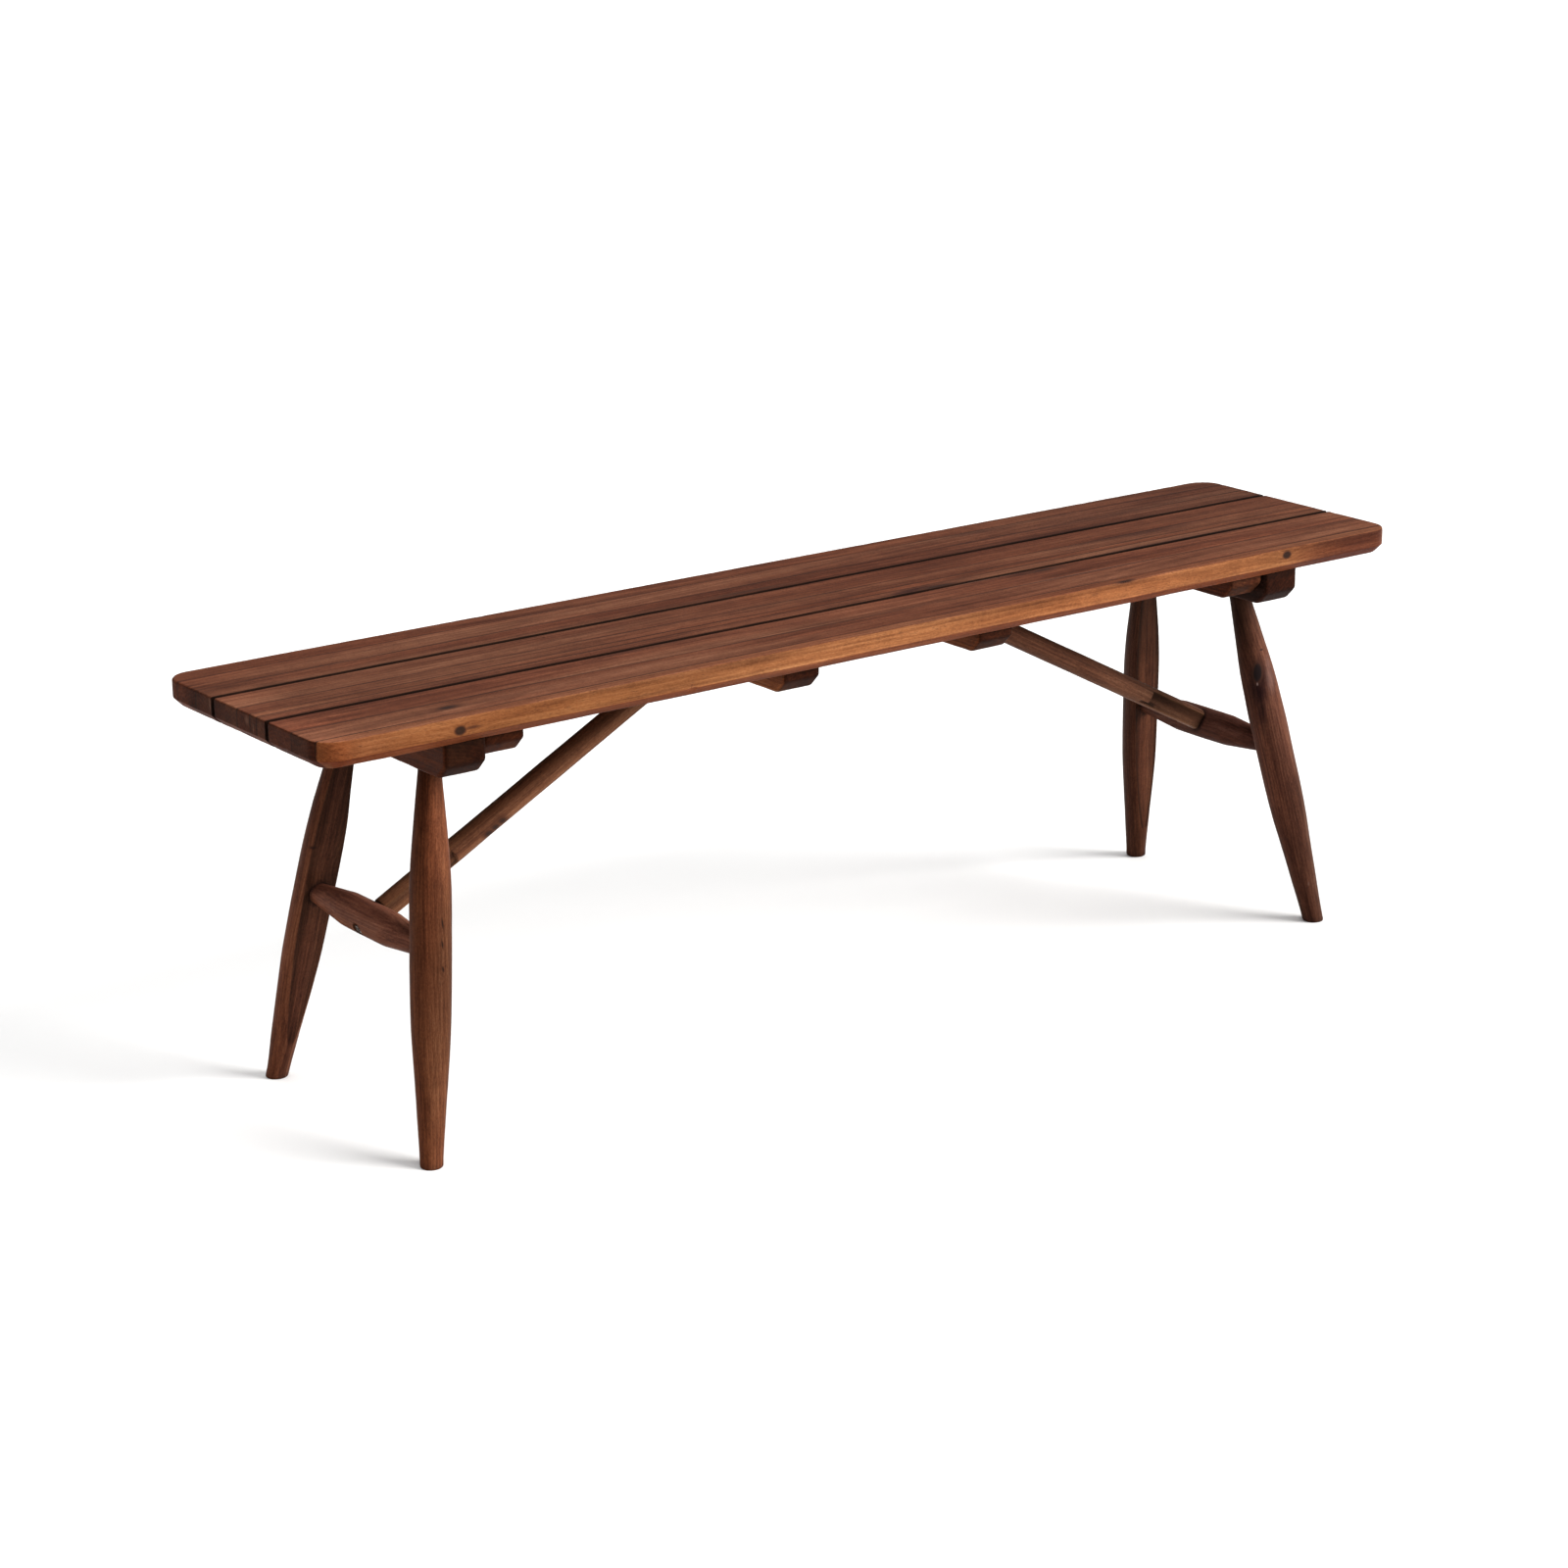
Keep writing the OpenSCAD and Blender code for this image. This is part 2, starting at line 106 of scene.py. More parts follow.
def spline(xs, ys, x):
    """Monotone-friendly cubic through the marks, without overshoot."""
    xs, ys = np.asarray(xs, float), np.asarray(ys, float)
    h, d = np.diff(xs), np.diff(ys) / np.diff(xs)
    m = np.zeros_like(ys)
    m[1:-1] = (d[:-1] * h[1:] + d[1:] * h[:-1]) / (h[:-1] + h[1:])
    m[0], m[-1] = d[0], d[-1]
    x = np.clip(x, xs[0], xs[-1])
    i = np.clip(np.searchsorted(xs, x) - 1, 0, len(xs) - 2)
    t = (x - xs[i]) / h[i]
    a = (1 + 2 * t) * (1 - t) ** 2 * ys[i] + t * (1 - t) ** 2 * h[i] * m[i]
    b = t * t * (3 - 2 * t) * ys[i + 1] + t * t * (t - 1) * h[i] * m[i + 1]
    return a + b


def new_object(name, verts, faces):
    me = bpy.data.meshes.new(name)
    me.from_pydata([tuple(map(float, v)) for v in verts], [], [list(map(int, f)) for f in faces])
    me.validate()
    ob = bpy.data.objects.new(name, me)
    scene.collection.objects.link(ob)
    bm = bmesh.new()
    bm.from_mesh(me)
    bmesh.ops.recalc_face_normals(bm, faces=bm.faces)
    bm.to_mesh(me)
    bm.free()
    return ob


def loft(rows, cap=True):
    """Closed columns between stations; caps are fans to a middle vertex."""
    rows = np.asarray(rows, float)
    k, j = rows.shape[:2]
    idx = np.arange(k * j).reshape(k, j)
    a, b = idx[:-1], np.roll(idx, -1, 1)[:-1]
    c, d = np.roll(idx, -1, 1)[1:], idx[1:]
    faces = [list(q) for q in np.stack([a, b, c, d], -1).reshape(-1, 4)]
    verts = [v for v in rows.reshape(-1, 3)]
    if cap:
        for row, ring in ((0, idx[0]), (k - 1, idx[-1])):
            verts.append(rows[row].mean(0))
            m = len(verts) - 1
            faces += [[m, ring[i], ring[(i + 1) % j]] for i in range(j)]
    return verts, faces


def revolve(profile, matrix, seg=48):
    """Closed solid of revolution about local Z. profile: (radius, z) rows."""
    ang = np.linspace(0, 2 * math.pi, seg, endpoint=False)
    rows = [[(max(r, 1e-4) * math.cos(a), max(r, 1e-4) * math.sin(a), z) for a in ang] for r, z in profile]
    verts, faces = loft(rows)
    return [tuple(matrix @ Vector(v)) for v in verts], faces


def joined(parts):
    verts, faces = [], []
    for v, f in parts:
        n = len(verts)
        verts += list(v)
        faces += [[i + n for i in q] for q in f]
    return verts, faces


def carve(ob, parts):
    """Removes the closed shapes in parts from ob and keeps the result."""
    cutter = new_object("cutter", *joined(parts))
    mod = ob.modifiers.new("carve", "BOOLEAN")
    mod.operation, mod.solver, mod.object = "DIFFERENCE", "EXACT", cutter
    apply_modifiers(ob)
    bpy.data.objects.remove(cutter)


def apply_modifiers(ob):
    bpy.context.view_layer.update()
    dg = bpy.context.evaluated_depsgraph_get()
    me = bpy.data.meshes.new_from_object(ob.evaluated_get(dg))
    old = ob.data
    ob.modifiers.clear()
    ob.data = me
    bpy.data.meshes.remove(old)


def slices(ob, cuts):
    """Adds edges where the planes axis=value cross the mesh."""
    bm = bmesh.new()
    bm.from_mesh(ob.data)
    for axis, values in cuts:
        for v in sorted(values):
            co, no = Vector((0, 0, 0)), Vector((0, 0, 0))
            co[axis], no[axis] = v, 1
            near = [f for f in bm.faces if min(q.co[axis] for q in f.verts) < v < max(q.co[axis] for q in f.verts)]
            edges = list({e for f in near for e in f.edges})
            vs = list({q for f in near for q in f.verts})
            bmesh.ops.bisect_plane(bm, geom=vs + edges + near, plane_co=co, plane_no=no, dist=0.02)
    bm.to_mesh(ob.data)
    bm.free()


def coords(me):
    co = np.zeros(len(me.vertices) * 3)
    me.vertices.foreach_get("co", co)
    return co.reshape(-1, 3)


def set_coords(me, co):
    me.vertices.foreach_set("co", np.asarray(co, np.float32).ravel())
    me.update()


def vertex_normals(me):
    no = np.zeros(len(me.vertices) * 3)
    me.vertices.foreach_get("normal", no)
    return no.reshape(-1, 3)


def face_centres(me):
    c = np.zeros(len(me.polygons) * 3)
    me.polygons.foreach_get("center", c)
    return c.reshape(-1, 3)


def loop_table(me):
    v = np.zeros(len(me.loops), int)
    me.loops.foreach_get("vertex_index", v)
    tot = np.zeros(len(me.polygons), int)
    me.polygons.foreach_get("loop_total", tot)
    return v, np.repeat(np.arange(len(me.polygons)), tot)


def put(me, name, kind, domain, values):
    at = me.attributes.get(name) or me.attributes.new(name, kind, domain)
    at.data.foreach_set("vector" if kind == "FLOAT_VECTOR" else "value", np.asarray(values, np.float32).ravel())


def finish_wood(ob, wc, st, arris, endg, dirt_and_shade, sharp=38, depth=None):
    """Writes what the wood shader reads and turns the mesh from mm to metres.
    wc: metres along and across the grain, per corner or per vertex.
    st: (tone, warmth, id), the same. arris, endg and dirt_and_shade (painted shade with some dirt) are per vertex.
    depth: colour factor, 1 for the usual, less for darker: deeper stain, and painted light and shade."""
    me = ob.data
    n, m = len(me.vertices), len(me.loops)
    put(me, "wc", "FLOAT_VECTOR", "CORNER" if len(wc) == m and m != n else "POINT", wc)
    put(me, "st", "FLOAT_VECTOR", "CORNER" if len(st) == m and m != n else "POINT", st)
    put(me, "mk", "FLOAT_VECTOR", "POINT", np.stack([arris, endg, dirt_and_shade], -1))
    depth = np.ones(n) if depth is None else np.asarray(depth, float)
    if depth.ndim == 1:
        depth = np.stack([depth, depth, depth], -1)
    put(me, "stain_light_shade", "FLOAT_VECTOR", "CORNER" if len(depth) == m and m != n else "POINT", depth)
    set_coords(me, coords(me) * MM)
    me.polygons.foreach_set("use_smooth", np.ones(len(me.polygons), bool))
    me.set_sharp_from_angle(angle=math.radians(sharp))
    wn = ob.modifiers.new("normals", "WEIGHTED_NORMAL")
    wn.mode, wn.weight, wn.keep_sharp = "FACE_AREA_WITH_ANGLE", 60, True


# ---- node graphs ---------------------------------------------------------------
class Sock:
    """A number in a node tree that can be added, multiplied and so on."""

    def __init__(self, g, s):
        self.g, self.s = g, s

    def __add__(self, o):
        return self.g.math("ADD", self, o)

    __radd__ = __add__

    def __sub__(self, o):
        return self.g.math("SUBTRACT", self, o)

    def __rsub__(self, o):
        return self.g.math("SUBTRACT", o, self)

    def __mul__(self, o):
        return self.g.math("MULTIPLY", self, o)

    __rmul__ = __mul__

    def __truediv__(self, o):
        return self.g.math("DIVIDE", self, o)

    def __pow__(self, o):
        return self.g.math("POWER", self, o)


class Graph:
    def __init__(self, name):
        self.mat = bpy.data.materials.new(name)
        self.mat.use_nodes = True
        self.t = self.mat.node_tree
        self.t.nodes.clear()
        self.out = self.t.nodes.new("ShaderNodeOutputMaterial")
        self.bsdf = self.t.nodes.new("ShaderNodeBsdfPrincipled")
        self.t.links.new(self.bsdf.outputs[0], self.out.inputs[0])

    def node(self, kind, **props):
        n = self.t.nodes.new(kind)
        for k, v in props.items():
            setattr(n, k, v)
        return n

    def plug(self, value, socket):
        if isinstance(value, Sock):
            self.t.links.new(value.s, socket)
        elif isinstance(value, (tuple, list)):
            socket.default_value = tuple(value) + ((1.0,) if len(value) == 3 and socket.type == "RGBA" else ())
        else:
            socket.default_value = value

    def math(self, op, a, b=None, c=None, clamp=False):
        n = self.node("ShaderNodeMath", operation=op, use_clamp=clamp)
        for i, v in enumerate((a, b, c)):
            if v is not None:
                self.plug(v, n.inputs[i])
        return Sock(self, n.outputs[0])

    def vec(self, op, a, b=None, scale=None):
        n = self.node("ShaderNodeVectorMath", operation=op)
        self.plug(a, n.inputs[0])
        if b is not None:
            self.plug(b, n.inputs[1])
        if scale is not None:
            self.plug(scale, n.inputs["Scale"])
        return Sock(self, n.outputs["Value"] if op in ("LENGTH", "DOT_PRODUCT", "DISTANCE") else n.outputs["Vector"])

    def xyz(self, x, y, z):
        n = self.node("ShaderNodeCombineXYZ")
        for i, v in enumerate((x, y, z)):
            self.plug(v, n.inputs[i])
        return Sock(self, n.outputs[0])

    def sep(self, v):
        n = self.node("ShaderNodeSeparateXYZ")
        self.plug(v, n.inputs[0])
        return [Sock(self, n.outputs[i]) for i in range(3)]

    def attr(self, name):
        n = self.node("ShaderNodeAttribute", attribute_name=name, attribute_type="GEOMETRY")
        return Sock(self, n.outputs["Vector"])

    def position(self):
        return Sock(self, self.node("ShaderNodeTexCoord").outputs["Object"])

    def noise(self, v, scale=1.0, detail=2.0, rough=0.5, distortion=0.0, color=False):
        n = self.node("ShaderNodeTexNoise", noise_dimensions="3D")
        self.plug(v, n.inputs["Vector"])
        n.inputs["Scale"].default_value = scale
        n.inputs["Detail"].default_value = detail
        n.inputs["Roughness"].default_value = rough
        n.inputs["Distortion"].default_value = distortion
        return Sock(self, n.outputs["Color" if color else "Fac"])

    def cells(self, v, feature="F1", randomness=1.0, out="Distance"):
        n = self.node("ShaderNodeTexVoronoi", feature=feature, voronoi_dimensions="3D")
        self.plug(v, n.inputs["Vector"])
        n.inputs["Scale"].default_value = 1.0
        n.inputs["Randomness"].default_value = randomness
        return Sock(self, n.outputs[out])

    def ramp(self, fac, stops, mode="LINEAR"):
        n = self.node("ShaderNodeValToRGB")
        n.color_ramp.interpolation = mode
        el = n.color_ramp.elements
        while len(el) < len(stops):
            el.new(0.5)
        for e, (p, c) in zip(el, stops):
            e.position, e.color = p, (*c, 1.0)
        self.plug(fac, n.inputs[0])
        return Sock(self, n.outputs[0])

    def mix(self, fac, a, b, blend="MIX"):
        n = self.node("ShaderNodeMix", data_type="RGBA", blend_type=blend)
        n.clamp_factor = True
        self.plug(fac, n.inputs[0])
        self.plug(a, n.inputs[6])
        self.plug(b, n.inputs[7])
        return Sock(self, n.outputs[2])

    def step(self, x, a, b, lo=0.0, hi=1.0):
        n = self.node("ShaderNodeMapRange", interpolation_type="SMOOTHSTEP")
        self.plug(x, n.inputs[0])
        for i, v in enumerate((a, b, lo, hi)):
            self.plug(v, n.inputs[i + 1])
        return Sock(self, n.outputs[0])


# ---- wood ------------------------------------------------------------------------
# scene-linear colours of the oiled wood, from darkest to lightest
BROWN = ((0.022, 0.0065, 0.0038), (0.064, 0.0195, 0.0098), (0.112, 0.0355, 0.0170), (0.195, 0.071, 0.035))
AMBER = ((0.045, 0.0125, 0.0050), (0.115, 0.0365, 0.0125), (0.185, 0.0625, 0.0210), (0.290, 0.112, 0.041))


def wood(name, brown=BROWN, amber=AMBER, rings=0.004, marks=(), contrast=1.0, rough=0.50, bump=1.0, shade=1.0, veins=1.0, joints=()):
    """Oiled hardwood cut from a log: growth rings, fibre, pores, end grain,
    worn arrises, and painted shade with some dust in crevices. marks: (kind, centre mm, radii mm, strength).
    joints: where glue lines run, mm across the seat."""
    g = Graph(name)
    wc = g.attr("wc")
    u, v, w = g.sep(wc)
    tone, warm, sid = g.sep(g.attr("st"))
    arris, endg, dirt_and_shade = g.sep(g.attr("mk"))
    pos = g.position()
    shift = sid * 3.7

    # the grain wanders slowly along the board
    slow = g.noise(g.xyz(u * 1.6 + shift, v * 9.0, w * 9.0), detail=1.5, rough=0.55, color=True)
    sx, sy, sz = g.sep(slow)
    mid = g.noise(g.xyz(u * 7.0 + shift, v * 40.0, w * 40.0), detail=2.0, rough=0.5)
    # knots push the rings aside and darken them
    knot_dark, knot_push, pale, stain_and_shade_mask = None, None, None, None
    for kind, c, r, strength in marks:
        centre = tuple(x * MM for x in c)
        radii = tuple(1.0 / (x * MM) for x in r)
        rel = g.vec("MULTIPLY", g.vec("SUBTRACT", pos, centre), radii)
        d = g.vec("LENGTH", rel) + (mid - 0.5) * (0.9 if kind != "knot" else 0.35)
        m = g.step(d, 1.0, 0.35 if kind == "knot" else 0.1) * strength
        if kind == "pale":
            pale = m if pale is None else g.math("MAXIMUM", pale, m)
            continue
        if kind == "stain_and_shade":
            stain_and_shade_mask = m if stain_and_shade_mask is None else g.math("MAXIMUM", stain_and_shade_mask, m)
            continue
        knot_dark = m if knot_dark is None else g.math("MAXIMUM", knot_dark, m)
        if kind == "knot":
            p = g.math("EXPONENT", g.vec("LENGTH", rel) * -0.55) * 0.010
            knot_push = p if knot_push is None else knot_push + p
    vv = v + (sx - 0.5) * 0.030 + (mid - 0.5) * 0.0022
    ww = w + (sy - 0.5) * 0.030
    r = g.math("SQRT", vv * vv + ww * ww)
    if knot_push is not None:
        r = r + knot_push
    phase = g.math("FRACT", r / rings + (sz - 0.5) * 1.5)
    ring = g.math("POWER", phase, 1.7) * g.step(phase, 1.0, 0.86)

    fibre = g.noise(g.xyz(u * 22.0 + shift, v * 950.0, w * 950.0), detail=1.5, rough=0.6)
    streak = g.noise(g.xyz(u * 4.6 + shift, v * 130.0, w * 130.0), detail=3.5, rough=0.66)
    dash = g.noise(g.xyz(u * 80.0 + shift, v * 520.0, w * 520.0), detail=1.5, rough=0.6)
    broad = g.noise(g.xyz(u * 1.7 + shift, v * 26.0, w * 26.0), detail=2.5, rough=0.55)
    figure = g.noise(g.xyz(u * 75.0, v * 22.0 + shift, w * 22.0), detail=1.5, rough=0.5)
    cloud = g.noise(g.xyz(u * 1.3 + shift, v * 10.0, w * 10.0), detail=2.0, rough=0.55)
    band = g.noise(g.xyz(u * 0.9 + shift, vv * 42.0, ww * 42.0), detail=3.0, rough=0.6)
    vein = g.noise(g.xyz(u * 2.8 + shift, vv * 300.0, ww * 300.0), detail=2.0, rough=0.55)
    short = g.noise(g.xyz(u * 11.0 + shift, v * 330.0, w * 330.0), detail=2.5, rough=0.6)
    patch = g.noise(g.xyz(u * 5.0 + shift, v * 34.0, w * 34.0), detail=3.0, rough=0.6, distortion=0.6)
    speck = g.noise(g.xyz(u * 380.0 + shift, v * 760.0, w * 760.0), detail=1.0, rough=0.5)
    pore_d = g.cells(g.xyz(u * 130.0 + shift, v * 1250.0, w * 1250.0))
    pore = g.step(pore_d, 0.30, 0.16) * g.step(streak, 0.38, 0.62)

    t = 0.5 + tone * 0.5 + (ring - 0.32) * 0.18 * contrast + (streak - 0.5) * 0.58 * contrast + (cloud - 0.5) * 0.70
    t = t + (fibre - 0.5) * 0.30 * contrast + (broad - 0.5) * 0.50 * contrast + (figure - 0.5) * 0.14
    t = t + (short - 0.5) * 0.62 * contrast + (patch - 0.5) * 0.68 * contrast + (dash - 0.5) * 0.34 * contrast
    t = t + (speck - 0.5) * 0.42 * contrast
    stops_b = list(zip((0.0, 0.36, 0.62, 1.0), brown))
    stops_a = list(zip((0.0, 0.36, 0.62, 1.0), amber))
    col = g.mix(warm, g.ramp(t, stops_b), g.ramp(t, stops_a))
    # redder and browner patches, dark heartwood bands and thin dark veins
    col = g.mix(1.0, col, g.mix(g.step(broad * 0.5 + cloud * 0.5, 0.35, 0.65), (1.06, 0.95, 0.90), (0.95, 1.05, 1.08)), "MULTIPLY")
    col = g.mix(g.step(band, 0.56, 0.72) * 0.55 * veins, col, g.mix(1.0, col, (0.42, 0.37, 0.38), "MULTIPLY"))
    col = g.mix(g.step(vein, 0.60, 0.74) * 0.42 * veins, col, (0.024, 0.0080, 0.0055))
    # pores hold dark finish
    col = g.mix(pore * 0.55, col, (0.018, 0.008, 0.005))
    col = g.mix(g.step(dash, 0.60, 0.76) * 0.40, col, (0.030, 0.0115, 0.0070))
    # end grain drinks the oil: darker, with its own dots of pores
    end_tone = g.noise(g.xyz(u * 4.0, v * 260.0, w * 260.0), detail=2.0, rough=0.6)
    end_col = g.mix(1.0, col, g.mix(end_tone, (0.30, 0.27, 0.29), (0.72, 0.66, 0.64)), "MULTIPLY")
    col = g.mix(endg, col, end_col)
    # arrises rubbed back to paler wood
    rub_and_light = g.noise(g.xyz(u * 30.0 + shift, v * 130.0, w * 130.0), detail=3.0, rough=0.65)
    worn = g.step(arris * 0.62 + rub_and_light * 0.62, 0.62, 0.98)
    col = g.mix(worn * 0.40, col, g.mix(0.55, col, amber[3]))
    # painted shade in corners, crevices and gaps, with some dust and finish
    grime_and_shade = g.math("MULTIPLY", dirt_and_shade, rub_and_light * 0.9 + 0.45, clamp=True)
    col = g.mix(grime_and_shade * 0.86, col, (0.012, 0.007, 0.0055))
    # stain_and_shade marks: real stains, and painted shade along the slats' gaps
    if stain_and_shade_mask is not None:
        col = g.mix(stain_and_shade_mask, col, g.mix(1.0, col, (0.26, 0.27, 0.42), "MULTIPLY"))
    if knot_dark is not None:
        rim = g.mix(g.step(knot_dark, 0.55, 0.95), (0.050, 0.017, 0.009), (0.011, 0.007, 0.006))
        col = g.mix(g.step(knot_dark, 0.02, 0.75) * 0.92, col, rim)
    # pale marks: paler wood, and painted highlights where a leg's bulge catches the light
    if pale is not None:
        col = g.mix(pale * (0.55 + streak * 0.6), col, (0.30, 0.165, 0.115))
    px, py, pz = g.sep(pos)
    for y in joints:
        off = g.math("ABSOLUTE", py - y * MM + (mid - 0.5) * 0.0004)
        line = g.step(off, 0.0019, 0.0006) * g.step(streak, 0.30, 0.55)
        col = g.mix(line * 0.80, col, (0.016, 0.008, 0.006))
    # stain, and painted light and shade, from the mesh
    col = g.mix(1.0, col, g.attr("stain_light_shade"), "MULTIPLY")
    if shade != 1.0:
        col = g.mix(1.0, col, (shade, shade, shade), "MULTIPLY")
    g.plug(col, g.bsdf.inputs["Base Color"])

    gloss = rough + (fibre - 0.5) * 0.20 + (streak - 0.5) * 0.16 + endg * 0.10 + grime_and_shade * 0.25 + pore * 0.12 - worn * 0.05
    g.plug(g.math("MAXIMUM", gloss, 0.2), g.bsdf.inputs["Roughness"])
    g.bsdf.inputs["IOR"].default_value = 1.46
    g.bsdf.inputs["Specular IOR Level"].default_value = 0.035
    g.bsdf.inputs["Specular Tint"].default_value = (1.0, 0.66, 0.52, 1.0)

    height = fibre * 0.50 + short * 0.30 + streak * 0.40 + ring * 0.22 - pore * 0.75 + mid * 0.5
    if knot_dark is not None:
        height = height - knot_dark * 0.8
    b = g.node("ShaderNodeBump")
    b.inputs["Strength"].default_value = 0.38 * bump
    b.inputs["Distance"].default_value = 0.00045
    g.plug(height, b.inputs["Height"])
    g.t.links.new(b.outputs[0], g.bsdf.inputs["Normal"])
    return g.mat


def metal(name, tint, rough, dull=0.5):
    g = Graph(name)
    pos = g.position()
    fine = g.noise(pos, 900.0, 3.0, 0.6)
    spots = g.noise(pos, 260.0, 2.0, 0.55)
    brushed = g.noise(g.vec("MULTIPLY", pos, (400.0, 400.0, 3500.0)), 1.0, 2.0, 0.5)
    dark = tuple(c * 0.45 for c in tint)
    col = g.mix(g.step(spots, 0.45, 0.72) * dull, tint, dark)
    g.plug(g.mix(fine * 0.25, col, dark), g.bsdf.inputs["Base Color"])
    g.bsdf.inputs["Metallic"].default_value = 1.0
    g.plug(rough + (fine - 0.5) * 0.22 + (spots - 0.5) * 0.25, g.bsdf.inputs["Roughness"])
    b = g.node("ShaderNodeBump")
    b.inputs["Strength"].default_value = 0.25
    b.inputs["Distance"].default_value = 0.00008
    g.plug(brushed + fine * 0.6, b.inputs["Height"])
    g.t.links.new(b.outputs[0], g.bsdf.inputs["Normal"])
    return g.mat


# ---- seat ------------------------------------------------------------------------
Z_LEVELS = [0, 0.25, 0.7, CHAMFER - 0.7, CHAMFER, CHAMFER + 0.8, CHAMFER + 2.2, CHAMFER + 4.5, 17.5, 21.0] + [THICK - d for d in (4.4, 2.6, 2.1, 1.6, 1.15, 0.75, 0.45, 0.2, 0.05, 0)]


def outer_inset(z):
    """Inset of the seat's outer edge: chamfer below, round-over on top."""
    c = max(CHAMFER - z, 0.0)
    c = float(smin(np.array(-c), np.array(0.0), 1.1)) * -1  # softens the chamfer's arris
    if z < 0.7:
        c += 0.35 * (1 - z / 0.7) ** 2
    if z > THICK - ROUND:
        c += ROUND - math.sqrt(max(ROUND**2 - (z - THICK + ROUND) ** 2, 0))
    return c


def gap_inset(z):
    i = 0.45 * (1 - z / 0.7) ** 2 if z < 0.7 else 0.0
    if z > THICK - EASE:
        i += EASE - math.sqrt(max(EASE**2 - (z - THICK + EASE) ** 2, 0))
    return i


def corner(cx, cy, r, a0, a1, n):
    return [(cx + r * math.cos(math.radians(a)), cy + r * math.sin(math.radians(a))) for a in np.linspace(a0, a1, n)]


def slat_ring(kind, z):
    """Plan outline of a slat at height z above its underside, counterclockwise."""
    o, i = outer_inset(z), gap_inset(z)
    rc = 1.3
    if kind == "middle":
        y = SLAT_W / 2 - i
        x = HX - o
        pts = corner(-x + rc, -y + rc, rc, 180, 270, 5) + corner(x - rc, -y + rc, rc, 270, 360, 5)
        return pts + corner(x - rc, y - rc, rc, 0, 90, 5) + corner(-x + rc, y - rc, rc, 90, 180, 5)
    yi = -HY + SLAT_W - i
    x = HX - o
    pts = corner(-HX + CORNER, -HY + CORNER, CORNER - o, 180, 270, 29)
    pts += corner(HX - CORNER, -HY + CORNER, CORNER - o, 270, 360, 29)
    pts += corner(x - rc, yi - rc, rc, 0, 90, 5) + corner(-x + rc, yi - rc, rc, 90, 180, 5)
    return [(px, -py) for px, py in reversed(pts)] if kind == "rear" else pts


STAVES = {  # joints of the glued-up boards, across the seat
    "front": [-160, -144, -102, -55],
    "middle": [-53, -34, -21, 5, 53],
    "rear": [55, 89, 128, 161],
}
# tone and warmth of each stave, and where its pith lies (across, down)
STAVE_LOOKS = {
    "front": [(0.10, 0.10, 26, -61), (-0.02, 0.0, -38, -72), (0.03, 0.0, 21, -35)],
    "middle": [(-0.03, 0.0, 30, -52), (0.09, 0.05, -18, -90), (-0.08, 0.0, 44, -40), (0.04, 0.0, -25, -47)],
    "rear": [(-0.10, 0.0, 15, -66), (0.02, 0.0, -32, -44), (0.06, 0.03, 26, -58)],
}


